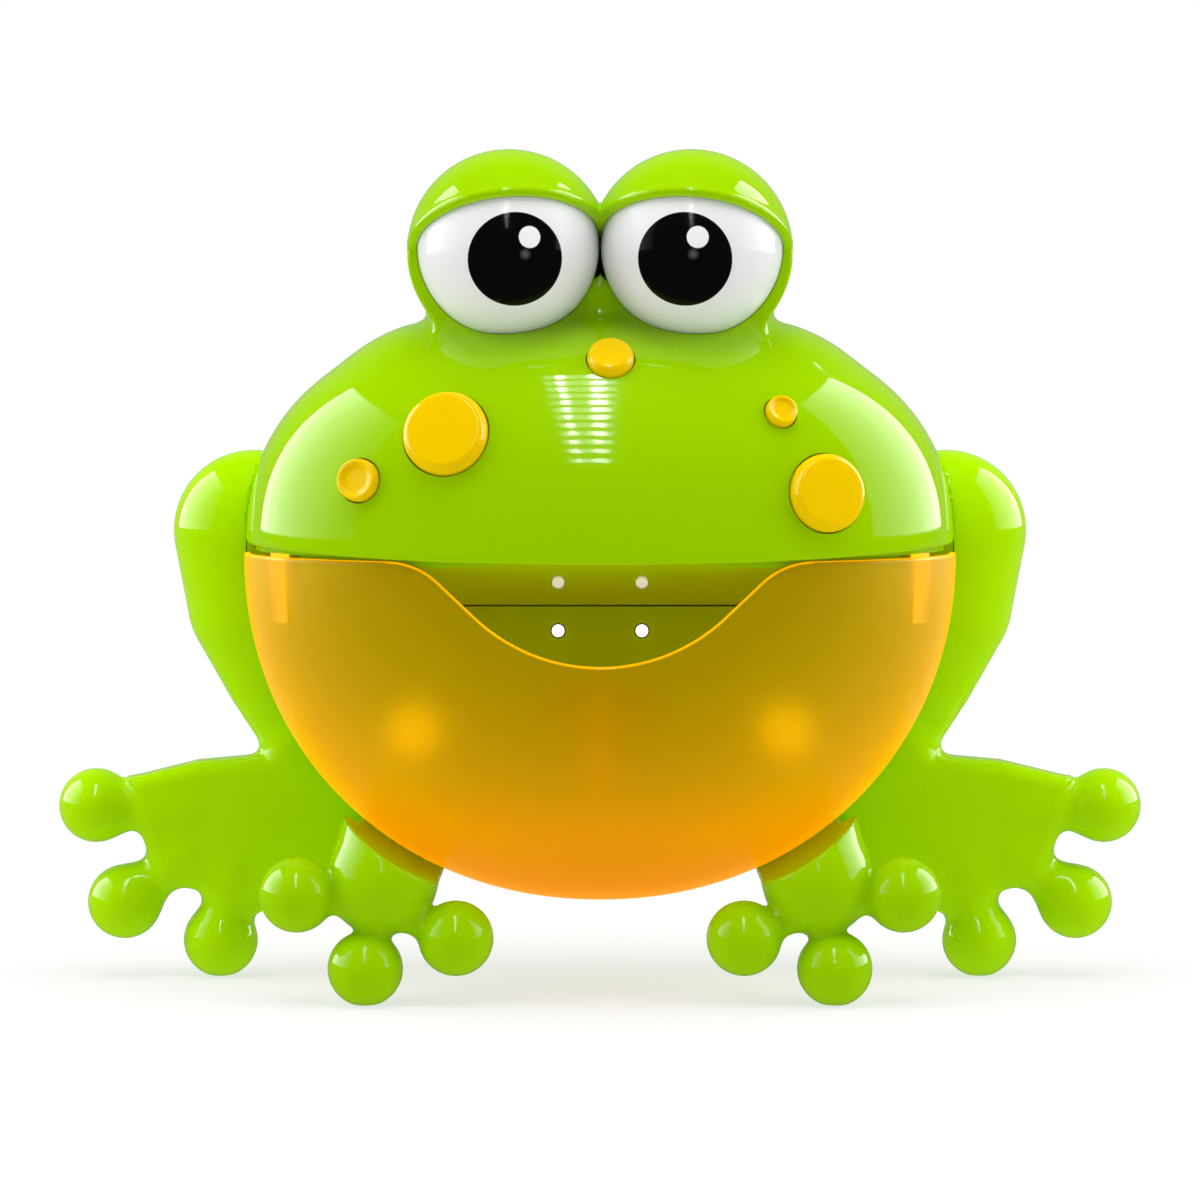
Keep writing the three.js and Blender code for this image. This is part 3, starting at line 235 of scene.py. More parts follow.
# smooth shading with sharp corners kept; a field gives exact normals where the mesh lies on it
def shade(obj, field=None):
    mesh = obj.data
    mesh.shade_smooth()
    mesh.set_sharp_from_angle(angle=math.radians(shadeLook["crease"]))
    if field is None:
        return obj
    points = meshPoints(mesh)
    slope = gradient(field, points)
    slope /= np.maximum(np.linalg.norm(slope, axis=1), 1e-9)[:, None]
    onField = np.abs(field(points)) < shadeLook["onField"]
    corners = np.zeros(len(mesh.loops) * 3)
    mesh.corner_normals.foreach_get("vector", corners)
    corners = corners.reshape(-1, 3)
    vertexOf = np.zeros(len(mesh.loops), int)
    mesh.loops.foreach_get("vertex_index", vertexOf)
    nearly = math.cos(math.radians(shadeLook["agree"]))
    agrees = onField[vertexOf] & ((corners * slope[vertexOf]).sum(1) > nearly)
    corners[agrees] = slope[vertexOf][agrees]
    mesh.normals_split_custom_set(corners.tolist())
    return obj


def mirrorCopy(obj, name):
    mesh = obj.data.copy()
    mesh.transform(Matrix.Scale(-1, 4, (1, 0, 0)))
    mesh.flip_normals()
    copy = bpy.data.objects.new(name, mesh)
    scene.collection.objects.link(copy)
    return copy


# a line through points with its corners rounded: each point is (radius from axis, height, corner round)
def roundedLine(points, steps=4):
    line = []
    for i, (r, y, bend) in enumerate(points):
        here = np.array([r, y], float)
        if bend <= 0 or i in (0, len(points) - 1):
            line.append(here)
            continue
        back = np.array(points[i - 1][:2], float) - here
        ahead = np.array(points[i + 1][:2], float) - here
        bend = min(bend, cornerShare * np.linalg.norm(back), cornerShare * np.linalg.norm(ahead))
        back, ahead = back / np.linalg.norm(back), ahead / np.linalg.norm(ahead)
        for k in range(steps + 1):
            t = k / steps
            line.append(here + bend * (back * (1 - t) ** 2 + ahead * t ** 2))
    return line


# a solid turned about Y from a rounded profile that starts and ends on the axis
def turnedMesh(name, profile, sides=64, place=None, steps=4):
    line = roundedLine(profile, steps)
    angles = np.arange(sides) * 2 * math.pi / sides
    points, rings = [], []
    for r, y in line:
        rings.append((len(points), r < 1e-6))
        count = 1 if r < 1e-6 else sides
        for a in angles[:count]:
            points.append((r * math.sin(a), y, r * math.cos(a)))
    faces = []
    for (low, lowTip), (high, highTip) in zip(rings, rings[1:]):
        for i in range(sides):
            j = (i + 1) % sides
            if lowTip and highTip:
                continue
            if lowTip:
                faces.append((low, high + i, high + j))
            elif highTip:
                faces.append((low + i, high, low + j))
            else:
                faces.append((low + i, high + i, high + j, low + j))
    obj = meshObject(name, points, faces)
    if place is not None:
        obj.data.transform(place)
    return faceOutward(obj)


def shift(x, y, z):
    return Matrix.Translation(Vector((x, y, z)) * mm)


def boxMesh(name, low, high, bevel=0.0):
    xs, ys, zs = zip(low, high)
    points = [(x, y, z) for x in xs for y in ys for z in zs]
    faces = [(0, 1, 3, 2), (4, 6, 7, 5), (0, 4, 5, 1), (2, 3, 7, 6), (0, 2, 6, 4), (1, 5, 7, 3)]
    obj = meshObject(name, points, faces)
    if bevel > 0:
        softenEdges(obj, bevel)
    return obj


def softenEdges(obj, width, segments=3, angle=40):
    soften = obj.modifiers.new("edges", "BEVEL")
    soften.width, soften.segments = width * mm, segments
    soften.limit_method, soften.angle_limit = "ANGLE", math.radians(angle)
    bakeModifiers(obj)
    return obj


# place and direction of a spot on the head, as the front shell has it
def headPlace(x, z):
    b = bodySize
    across, up = abs(x) / b["halfWidth"], (z - b["mouthEdge"]) / b["headHeight"]
    p = b["headPower"]
    out = (1 - across ** p - up ** p) ** (1 / p)
    normal = Vector((
        math.copysign(across ** (p - 1) / b["halfWidth"], x),
        -(out ** (p - 1)) / b["depth"],
        up ** (p - 1) / b["headHeight"],
    )).normalized()
    turn = Vector((0, 1, 0)).rotation_difference(normal).to_matrix().to_4x4()
    return shift(x, -b["depth"] * out, z) @ turn


# shader groups

def newGroup(name, inputs, outputs):
    tree = bpy.data.node_groups.new(name, "ShaderNodeTree")
    for label, kind, value in inputs:
        socket = tree.interface.new_socket(label, in_out="INPUT", socket_type=kind)
        socket.default_value = value
    for label, kind in outputs:
        tree.interface.new_socket(label, in_out="OUTPUT", socket_type=kind)
    return tree, tree.nodes.new("NodeGroupInput"), tree.nodes.new("NodeGroupOutput")


def feed(tree, socket, value):
    if hasattr(value, "links"):
        tree.links.new(value, socket)
    else:
        socket.default_value = value


def mathNode(tree, operation, a, b):
    node = tree.nodes.new("ShaderNodeMath")
    node.operation = operation
    for socket, value in zip(node.inputs, (a, b)):
        feed(tree, socket, value)
    return node.outputs[0]


def mixNode(tree, kind, factor, a, b):
    node = tree.nodes.new("ShaderNodeMix")
    node.data_type = kind
    for label, value in (("Factor", factor), ("A", a), ("B", b)):
        feed(tree, node.inputs[label], value)
    return node.outputs["Result"]


def rangeNode(tree, value, start, end, low=0.0, high=1.0):
    node = tree.nodes.new("ShaderNodeMapRange")
    node.interpolation_type = "SMOOTHSTEP"
    labels = ("Value", "From Min", "From Max", "To Min", "To Max")
    for label, given in zip(labels, (value, start, end, low, high)):
        feed(tree, node.inputs[label], given)
    return node.outputs["Result"]


def noiseNode(tree, place, scale, detail):
    node = tree.nodes.new("ShaderNodeTexNoise")
    for label, value in (("Vector", place), ("Scale", scale), ("Detail", detail)):
        feed(tree, node.inputs[label], value)
    return node.outputs["Fac"]


def objectPlace(tree):
    return tree.nodes.new("ShaderNodeTexCoord").outputs["Object"]


def alongAxis(tree, place, axis):
    split = tree.nodes.new("ShaderNodeSeparateXYZ")
    tree.links.new(place, split.inputs["Vector"])
    return split.outputs[axis]


def markOf(tree, name):
    node = tree.nodes.new("ShaderNodeAttribute")
    node.attribute_name = name
    return node.outputs["Fac"]


def mixShaders(tree, share, first, second):
    mix = tree.nodes.new("ShaderNodeMixShader")
    for socket, value in zip(mix.inputs, (share, first, second)):
        tree.links.new(value, socket)
    tree.links.new(mix.outputs["Shader"], tree.nodes["Material Output"].inputs["Surface"])


mouldNoise = dict(flow=(14.0, 2.0), smear=(55.0, 3.0), rippleDetail=1.0)  # flow, smear: scale and detail


# moulded plastic: slow flow tone, fine ripple of the mould face, small change of gloss
def makeMouldedGroup():
    tree, given, made = newGroup(
        "mouldedPlastic",
        [("Colour", "NodeSocketColor", (1, 1, 1, 1)), ("Deep Colour", "NodeSocketColor", (1, 1, 1, 1)),
         ("Roughness", "NodeSocketFloat", 0.1), ("Gloss Change", "NodeSocketFloat", 0.03),
         ("Ripple Scale", "NodeSocketFloat", 260.0)],
        [("Colour", "NodeSocketColor"), ("Roughness", "NodeSocketFloat"), ("Height", "NodeSocketFloat")],
    )
    place = objectPlace(tree)
    flow = noiseNode(tree, place, *mouldNoise["flow"])
    tone = mixNode(tree, "RGBA", flow, given.outputs["Colour"], given.outputs["Deep Colour"])
    smear = mathNode(tree, "SUBTRACT", noiseNode(tree, place, *mouldNoise["smear"]), 0.5)
    change = mathNode(tree, "MULTIPLY", smear, given.outputs["Gloss Change"])
    ripple = noiseNode(tree, place, given.outputs["Ripple Scale"], mouldNoise["rippleDetail"])
    tree.links.new(tone, made.inputs["Colour"])
    tree.links.new(mathNode(tree, "ADD", given.outputs["Roughness"], change), made.inputs["Roughness"])
    tree.links.new(ripple, made.inputs["Height"])
    return tree


# a round print: 1 within a distance of a point on the piece
def makePrintGroup():
    tree, given, made = newGroup(
        "printedDot",
        [("Centre", "NodeSocketVector", (0, 0, 0)), ("Radius", "NodeSocketFloat", 0.01),
         ("Edge", "NodeSocketFloat", 0.0002)],
        [("Mask", "NodeSocketFloat")],
    )
    apart = tree.nodes.new("ShaderNodeVectorMath")
    apart.operation = "DISTANCE"
    tree.links.new(objectPlace(tree), apart.inputs[0])
    tree.links.new(given.outputs["Centre"], apart.inputs[1])
    inside = mathNode(tree, "SUBTRACT", given.outputs["Radius"], apart.outputs["Value"])
    soft = mathNode(tree, "DIVIDE", inside, given.outputs["Edge"])
    centred = mathNode(tree, "ADD", soft, 0.5)
    clamp = tree.nodes.new("ShaderNodeClamp")
    tree.links.new(centred, clamp.inputs["Value"])
    tree.links.new(clamp.outputs["Result"], made.inputs["Mask"])
    return tree


mouldedGroup = makeMouldedGroup()
printGroup = makePrintGroup()


def newMaterial(name):
    material = bpy.data.materials.new(name)
    material.use_nodes = True
    return material, material.node_tree, material.node_tree.nodes["Principled BSDF"]


def addGroup(tree, group, **values):
    node = tree.nodes.new("ShaderNodeGroup")
    node.node_tree = group
    for label, value in values.items():
        node.inputs[label].default_value = value
    return node


def addBump(tree, shader, height, strength, distance):
    bump = tree.nodes.new("ShaderNodeBump")
    bump.inputs["Strength"].default_value = strength
    bump.inputs["Distance"].default_value = distance
    tree.links.new(height, bump.inputs["Height"])
    tree.links.new(bump.outputs["Normal"], shader.inputs["Normal"])


plainPlastic = dict(change=0.03, scale=260.0, ripple=0.05, rippleDepth=0.0004, metallic=0.0, coat=0.0,
                    coatRoughness=0.03, ior=1.5, sheen=(1, 1, 1, 1), clear=0.0)
plainSockets = {"Metallic": "metallic", "Coat Weight": "coat", "Coat Roughness": "coatRoughness",
                "IOR": "ior", "Specular Tint": "sheen", "Transmission Weight": "clear"}


def addMoulding(tree, shader, look):
    group = addGroup(tree, mouldedGroup, **{
        "Colour": look["colour"], "Deep Colour": look["deep"], "Roughness": look["roughness"],
        "Gloss Change": look["change"], "Ripple Scale": look["scale"],
    })
    tree.links.new(group.outputs["Roughness"], shader.inputs["Roughness"])
    addBump(tree, shader, group.outputs["Height"], look["ripple"], look["rippleDepth"])
    for label, use in plainSockets.items():
        shader.inputs[label].default_value = look[use]
    return group.outputs["Colour"]


def plasticMaterial(look):
    look = {**plainPlastic, **look}
    material, tree, shader = newMaterial(look["name"])
    tree.links.new(addMoulding(tree, shader, look), shader.inputs["Base Color"])
    if "glow" in look:
        shader.inputs["Emission Color"].default_value = look["colour"]
        shader.inputs["Emission Strength"].default_value = look["glow"]
    if "litTo" in look:  # only the front of the piece is lit
        lit = mathNode(tree, "LESS_THAN", alongAxis(tree, objectPlace(tree), "Y"), look["litTo"] * mm)
        tree.links.new(mathNode(tree, "MULTIPLY", lit, look["glow"]), shader.inputs["Emission Strength"])
    return material


# clear plastic with painted light: a glow painted on its cut edges, grazing walls and lower part,
# and a painted glow for diffuse light onto what it holds; its shadow is tinted light
def paintTrayGlow(material, look):
    tree = material.node_tree
    shader = tree.nodes["Principled BSDF"]
    height = alongAxis(tree, objectPlace(tree), "Z")
    colour = shader.inputs["Base Color"].links[0].from_socket
    # painted light and shade: the colour turns a lighter orange lower down and a darker red at the hem
    lows = {}
    for use in ("low", "hem"):
        lows[use] = rangeNode(tree, height, look[use + "From"] * mm, look[use + "To"] * mm)
        colour = mixNode(tree, "RGBA", lows[use], colour, look[use + "Colour"])
    tree.links.new(colour, shader.inputs["Base Color"])
    # painted glow: cut edges, grazing walls and the lower part glow for camera and transmission rays; the
    # inner wall glows for diffuse rays and lights the panel behind
    facing = tree.nodes.new("ShaderNodeLayerWeight")
    facing.inputs["Blend"].default_value = look["edgeBlend"]
    glow = mathNode(tree, "MULTIPLY", markOf(tree, "paintedEdgeGlow"), look["cutGlow"])
    for part, strength in ((lows["low"], look["lowGlow"]), (facing.outputs["Facing"], look["edgeGlow"])):
        glow = mathNode(tree, "ADD", glow, mathNode(tree, "MULTIPLY", part, strength))
    path = tree.nodes.new("ShaderNodeLightPath")
    seen = mathNode(tree, "MAXIMUM", path.outputs["Is Camera Ray"], path.outputs["Is Transmission Ray"])
    within = mathNode(tree, "MULTIPLY", markOf(tree, "innerWall"), look["innerGlow"])
    within = mathNode(tree, "MULTIPLY", within, path.outputs["Is Diffuse Ray"])
    glow = mathNode(tree, "ADD", mathNode(tree, "MULTIPLY", glow, seen), within)
    tree.links.new(glow, shader.inputs["Emission Strength"])
    shader.inputs["Emission Color"].default_value = look["glowColour"]
    material.cycles.emission_sampling = "NONE"
    tint = tree.nodes.new("ShaderNodeBsdfTransparent")
    tint.inputs["Color"].default_value = look["shadowColour"]
    mixShaders(tree, path.outputs["Is Shadow Ray"], shader.outputs["BSDF"], tint.outputs["BSDF"])


greenLook = dict(name="greenPlastic", colour=(0.345, 0.65, 0.0, 1), deep=(0.315, 0.605, 0.0, 1),
                 roughness=0.05, ripple=0.02, ior=1.33)
# a paler copy of the green plastic for the hind legs: painted light from the bright floor below them
floorLitGreenLook = dict(greenLook, name="floorLitGreenPlastic", colour=(0.425, 0.79, 0.0, 1),
                     deep=(0.395, 0.745, 0.0, 1))
yellowLook = dict(name="yellowPlastic", colour=(0.93, 0.61, 0.0, 1), deep=(0.88, 0.56, 0.0, 1),
                  roughness=0.07, ior=1.38)
# the clear tray's lowColour and hemColour are painted light and shade low in the tray; its glows are painted
# glow, seen by the camera and cast onto the inside
orangeLook = dict(name="clearOrangePlastic", colour=(0.62, 0.50, 0.0, 1), deep=(0.59, 0.475, 0.0, 1),
                  lowColour=(0.72, 0.47, 0.0, 1), hemColour=(0.60, 0.30, 0.0, 1), hemFrom=48.0, hemTo=26.0,
                  roughness=0.4, clear=0.66, coat=0.19, coatRoughness=0.02, ior=1.35, ripple=0.015,
                  sheen=(1.0, 0.5, 0.0, 1), glowColour=(1.0, 0.33, 0.0, 1), cutGlow=0.7,
                  lowFrom=108.0, lowTo=32.0, lowGlow=0.09, edgeBlend=0.25, edgeGlow=0.95, innerGlow=0.42,
                  shadowColour=(1.0, 0.93, 0.15, 1))
whiteLook = dict(name="whitePlastic", colour=(0.84, 0.84, 0.85, 1), deep=(0.80, 0.80, 0.82, 1),
                 roughness=0.16)
lampLook = dict(name="lampWhite", colour=(0.95, 0.95, 0.93, 1), deep=(0.92, 0.92, 0.88, 1), roughness=0.2,
                glow=1.5, litTo=1.95)
trayLampLook = dict(name="trayLamp", colour=(1.0, 0.74, 0.2, 1), deep=(1.0, 0.7, 0.18, 1), roughness=0.3,
                    glow=1.5)
vinylLook = dict(name="clearVinyl", colour=(0.93, 0.95, 0.95, 1), deep=(0.88, 0.91, 0.92, 1), roughness=0.12,
                 clear=0.95, ior=1.45)
greyLook = dict(name="greyPlastic", colour=(0.26, 0.27, 0.28, 1), deep=(0.23, 0.24, 0.25, 1), roughness=0.45,
                ripple=0.2)
blackLook = dict(name="blackPlastic", colour=(0.02, 0.02, 0.022, 1), deep=(0.015, 0.015, 0.017, 1),
                 roughness=0.45, ripple=0.2)
boardLook = dict(name="boardGreen", colour=(0.015, 0.15, 0.05, 1), deep=(0.01, 0.11, 0.035, 1),
                 roughness=0.35)
steelLook = dict(name="plainSteel", colour=(0.62, 0.62, 0.64, 1), deep=(0.52, 0.52, 0.54, 1), roughness=0.3,
                 metallic=1.0, ripple=0.1)
cellLook = dict(name="cellSleeve", colour=(0.05, 0.12, 0.30, 1), deep=(0.04, 0.10, 0.26, 1), roughness=0.3)

slotLooks = dict(
    green_plastic=greenLook, yellow_plastic=yellowLook, clear_orange_plastic=orangeLook,
    white_plastic=whiteLook, lamp_white=lampLook, clear_rubber=vinylLook, grey_plastic=greyLook,
    black_plastic=blackLook, board_green=boardLook, steel=steelLook, cell_wrap=cellLook,
)
slotMaterials = {slot: plasticMaterial(look) for slot, look in slotLooks.items()}
paintTrayGlow(slotMaterials["clear_orange_plastic"], orangeLook)
floorLitGreen, trayLamp = plasticMaterial(floorLitGreenLook), plasticMaterial(trayLampLook)

slotOf = {row["node"]: row["material_slot"] for row in frame["record"]["subparts"]}
bodyOf = {node: body for body, nodes in frame["record"]["behaviour"]["bodies"].items() for node in nodes}
creaseAngle = 32  # sharper corners of the CAD pieces stay sharp
for node, obj in frame["nodes"].items():
    obj.data.materials.clear()
    obj.data.materials.append(slotMaterials[slotOf[node]])
    obj.data.shade_smooth()
    obj.data.set_sharp_from_angle(angle=math.radians(creaseAngle))


# a finished piece takes the place of a CAD node: same body, same slot
def standFor(obj, node, material=None):
    obj.data.materials.clear()
    obj.data.materials.append(material or slotMaterials[slotOf[node]])
    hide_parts(node)
    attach(obj, bodyOf[node])
    return obj


print("materials ready")

# front shell: dome with eye bulges blended on, lids with a rounded lip, spot holes

spots = dict(
    nose_spot=dict(x=2.8, z=172.8, radius=6.25, height=2.6, dish=0.0),
    left_large_spot=dict(x=-40.6, z=153.5, radius=11.4, height=3.0, dish=0.0),
    left_small_spot=dict(x=-63.5, z=140.9, radius=5.75, height=2.6, dish=0.9),
    right_small_spot=dict(x=47.6, z=158.8, radius=4.25, height=2.4, dish=0.8),
    power_button=dict(x=59.8, z=137.7, radius=10.4, height=3.4, dish=0.0),
)
shellLook = dict(step=0.9, innerStep=2.4, lipRound=1.6, edgeDrop=1.2, edgeArch=2.7, archHalf=88.0, seam=0.05,
                 cutPast=20.0, hollowLow=12.0, hollowBack=14.0, spotGap=0.35, spotDeep=-9.0, post=4.4,
                 postEnd=-0.3, screwHole=1.6, screwDeep=-9.0, screwOut=1.0, boardPost=2.4, boardPin=1.1,
                 boardPostX=15.2, boardPinOut=0.5, boardRest=0.3, boardRound=0.2, spotSides=64, postSides=32)


def domeField(points):
    b = bodySize
    points = np.stack([points[:, 0], points[:, 1], lowered(points[:, 0], points[:, 2])], 1)
    axes = (b["halfWidth"], b["depth"], b["headHeight"])
    return superDist(points, (0, 0, b["mouthEdge"]), axes, b["headPower"])


def bulgeField(points, side):
    e = eyeSize
    x = side * e["x"]
    return roundCone(points, (x, e["y"], e["z"]), (x, e["tail"], e["z"]), e["bulge"], e["bulge"])


def lidNormal(side):
    tilt, roll = math.radians(eyeSize["lidTilt"]), math.radians(eyeSize["lidRoll"])
    return np.array([side * math.cos(tilt) * math.sin(roll), math.sin(tilt), math.cos(tilt) * math.cos(roll)])


def ballCentre(side):
    return np.array([side * eyeSize["ballX"], eyeSize["y"], eyeSize["ballZ"]])


def eyeOpening(points, side):
    e = eyeSize
    overLid = (points - ballCentre(side)) @ lidNormal(side) - e["lidRise"]
    rimPlane = e["y"] - e["socketLip"] + e["gapDepth"] * np.exp(-(points[:, 0] / e["gapWidth"]) ** 2)
    return np.maximum(overLid, points[:, 1] - rimPlane)


# a round lip along the lid's edge, on the front half only
def lidLip(points, side):
    e = eyeSize
    away = points - ballCentre(side)
    over = away @ lidNormal(side) - e["lidRise"]
    around = np.sqrt(np.maximum((away ** 2).sum(1) - (over + e["lidRise"]) ** 2, 0))
    ring = np.hypot(around - e["lipRing"], over - e["lip"] * e["lipSit"]) - e["lip"]
    return softMax(ring, points[:, 1] - e["y"] + e["lipBack"], e["lipFade"])


def liddedBulge(points, side):
    e = eyeSize
    lidded = softMax(bulgeField(points, side), -eyeOpening(points, side), e["lidEdge"])
    return softMin(lidded, lidLip(points, side), e["lipBlend"])


def eyeBridge(points):
    e = eyeSize
    front = e["bridgeFront"] + e["bridge"]
    height = e["z"] - e["bridgeDrop"]
    return roundCone(points, (0, front, height), (0, e["tail"], height), e["bridge"], e["bridge"])


def frontField(points):
    e, s = eyeSize, shellLook
    eyes = softMin(liddedBulge(points, 1), liddedBulge(points, -1), e["eyesBlend"])
    eyes = softMin(eyes, eyeBridge(points), e["bridgeBlend"])
    skin = softMin(domeField(points), eyes, e["bulgeFillet"])
    for side in (1, -1):
        ball = np.linalg.norm(points - ballCentre(side), axis=1) - e["rimBall"]
        skin = softMax(skin, -np.maximum(ball, eyeOpening(points, side)), e["rimBlend"])
    edge = bodySize["mouthEdge"] - s["edgeDrop"] + s["edgeArch"] * (points[:, 0] / s["archHalf"]) ** 2
    return softMax(skin, edge - points[:, 2], s["lipRound"])


# the eye rims stay solid in front of the collar
def frontHollow(points):
    eyes = np.minimum(bulgeField(points, 1), bulgeField(points, -1)) + bodySize["wall"]
    eyes = np.maximum(eyes, eyeSize["y"] + eyeSize["collar"] - points[:, 1])
    return np.minimum(domeField(points) + bodySize["wall"], eyes)


def spotPlace(name):
    return headPlace(spots[name]["x"], spots[name]["z"])


# heights of a CAD piece's corners along the axis of a spot
def heightsAlong(name, node):
    toSpot = spotPlace(name).inverted()
    return [(toSpot @ v.co).y / mm for v in frame["nodes"][node].data.vertices]


def plainRod(radius, low, high):
    return [(0, low, 0), (radius, low, 0), (radius, high, 0), (0, high, 0)]


def spotTool(name, radius, low, high):
    return turnedMesh("tool", plainRod(radius, low, high), shellLook["spotSides"], spotPlace(name))


def eyeSphere(radius, side):
    turns = np.linspace(0, math.pi, eyeSize["seatSteps"])
    arc = [(radius * math.sin(a), -radius * math.cos(a), 0) for a in turns]
    arc[0], arc[-1] = (0, -radius, 0), (0, radius, 0)
    return turnedMesh("tool", arc, eyeSize["seatSides"], shift(*ballCentre(side)))


def nodesNamed(part):
    return [node for node in frame["nodes"] if part in node]


def middle(node):
    low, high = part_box(node)
    return (np.array(low) + np.array(high)) / (2 * mm)


# a round bar between two points
def rod(radius, start, end, sides=32):
    start, end = Vector(start), Vector(end)
    turn = Vector((0, 1, 0)).rotation_difference(end - start).to_matrix().to_4x4()
    return turnedMesh("tool", plainRod(radius, 0, (end - start).length), sides, shift(*start) @ turn)


def rodBehind(radius, y0, y1, node):
    x, _, z = middle(node)
    return rod(radius, (x, y0, z), (x, y1, z))


def joinAll(objects):
    first = objects[0]
    for other in objects[1:]:
        joinOn(first, other)
    return first


def boardPosts():
    s = shellLook
    heights = heightsAlong("power_button", "circuit_board")
    end, rest = min(heights) - s["boardPinOut"], max(heights) + s["boardRest"]
    profile = [(0, end, 0), (s["boardPin"], end, s["boardRound"]), (s["boardPin"], rest, 0),
               (s["boardPost"], rest, s["boardRound"]), (s["boardPost"], 0, 0), (0, 0, 0)]
    return [turnedMesh("tool", profile, s["postSides"], spotPlace("power_button") @ shift(x, 0, 0))
            for x in (-s["boardPostX"], s["boardPostX"])]


def copyOf(obj):
    copy = obj.copy()
    copy.data = obj.data.copy()
    scene.collection.objects.link(copy)
    return copy


def buildFrontShell():
    b, e, s, room = bodySize, eyeSize, shellLook, netLook["room"]
    top = e["z"] + e["bulge"] + netLook["topRoom"]
    side, front, low = b["halfWidth"] + room, -b["depth"] - room, b["mouthEdge"] - room
    shell = meshObject("frontShell", *netSurface(
        frontField, (-side, front, low), (side, room, top), s["step"]))
    wide = 2 * b["halfWidth"]
    cutAway(shell, boxMesh("tool", (-wide, -s["seam"], 0), (wide, s["cutPast"], 2 * top)))
    hollow = meshObject("tool", *netSurface(
        frontHollow, (-side, front, low - s["hollowLow"]), (side, s["hollowBack"], top), s["innerStep"]))
    posts = [rodBehind(s["post"], -b["depth"], s["postEnd"], node) for node in nodesNamed("case_screw")]
    posts = joinAll(posts + boardPosts())
    combine(posts, copyOf(shell), "INTERSECT")
    cutAway(shell, hollow)
    joinOn(shell, posts)
    for node in nodesNamed("case_screw"):
        cutAway(shell, rodBehind(s["screwHole"], s["screwDeep"], s["screwOut"], node))
    for eye in (1, -1):
        cutAway(shell, eyeSphere(e["ball"] + e["seat"], eye))
    for name, spot in spots.items():
        cutAway(shell, spotTool(name, spot["radius"] + s["spotGap"], s["spotDeep"], spot["height"]))
    shade(shell, frontField)
    return standFor(shell, "front_shell")


frontShell = buildFrontShell()
print("front shell", len(frontShell.data.polygons))

# yellow spots and the button: rounded caps with a flange under the skin

capLook = dict(
    edge=1.2, taper=0.11, foot=0.7, footRound=0.4, flange=1.5, flangeThick=1.2, flangeRound=0.2,
    stem=2.5, stemLength=7.0, stemRound=0.3, sides=72, steps=6,
    crown=[(0.5, 0.12, 1.0), (0, 0.15, 0)],  # share of the radius, rise, corner round
    dish=[(0.93, 0, 0.9), (0.76, 0, 0.7), (0.60, 1, 0.6), (0, 1, 0)],  # share of the radius and of the dish
)


def capProfile(spot, low, stem):
    c = capLook
    r, h = spot["radius"], spot["height"]
    flangeLow = low + stem
    flangeHigh = flangeLow + c["flangeThick"]
    line = [(0, low, 0)]
    if stem > 0:
        line += [(c["stem"], low, c["stemRound"]), (c["stem"], flangeLow, 0)]
    line += [(r + c["flange"], flangeLow, c["flangeRound"]), (r + c["flange"], flangeHigh, c["flangeRound"]),
             (r, flangeHigh, 0), (r, c["foot"], c["footRound"])]
    if spot["dish"] > 0:
        return line + [(r * share, h - spot["dish"] * drop, bend) for share, drop, bend in c["dish"]]
    line.append((r * (1 - c["taper"]), h, c["edge"]))
    return line + [(r * share, h + rise, bend) for share, rise, bend in c["crown"]]


def buildSpot(node):
    c = capLook
    stem = c["stemLength"] if node == "power_button" else 0
    profile = capProfile(spots[node], min(heightsAlong(node, node)), stem)
    cap = turnedMesh(node + "_cap", profile, c["sides"], spotPlace(node), c["steps"])
    shade(cap)
    return standFor(cap, node)


for node in spots:
    buildSpot(node)
print("spots")

# eyeballs: hollow white balls with a printed pupil and glint, and a painted reflection dot

eyeLook = dict(
    inward=6.0, down=9.5, sides=96, outerSteps=48, innerSteps=32,
    skin=dict(plainPlastic, colour=whiteLook["colour"], deep=whiteLook["deep"], roughness=0.09, change=0.02,
              scale=200.0, ripple=0.02, rippleDepth=0.0003, ior=1.25),
    pupil=dict(radius=12.93, right=0.0, up=0.0, edge=0.2, ink=(0.003, 0.003, 0.003, 1)),
    # the soft grey sheen dot in each pupil is a painted reflection of a small light in front
    sheen=dict(radius=0.9, right=2.4, up=1.8, edge=1.5, ink=(0.10, 0.10, 0.10, 1)),
    glint=dict(radius=2.9, right=3.6, up=6.3, edge=0.2, ink=(0.93, 0.93, 0.93, 1)),
)


def onEye(side, x, z):
    ball = eyeSize["ball"]
    return (Vector(ballCentre(side)) + Vector((x, -math.sqrt(ball ** 2 - x ** 2 - z ** 2), z))) * mm


def pupilOffset(side):
    ball, inward, down = eyeSize["ball"], math.radians(eyeLook["inward"]), math.radians(eyeLook["down"])
    return -side * ball * math.sin(inward), -ball * math.sin(down)


def eyeMaterial():
    material, tree, shader = newMaterial("printedEye")
    colour = addMoulding(tree, shader, eyeLook["skin"])
    for dot in (eyeLook["pupil"], eyeLook["sheen"], eyeLook["glint"]):
        masks = []
        for side in (1, -1):
            x, z = pupilOffset(side)
            spot = addGroup(tree, printGroup, Centre=onEye(side, x + dot["right"], z + dot["up"]),
                            Radius=dot["radius"] * mm, Edge=dot["edge"] * mm)
            masks.append(spot.outputs["Mask"])
        colour = mixNode(tree, "RGBA", mathNode(tree, "MAXIMUM", *masks), colour, dot["ink"])
    tree.links.new(colour, shader.inputs["Base Color"])
    return material


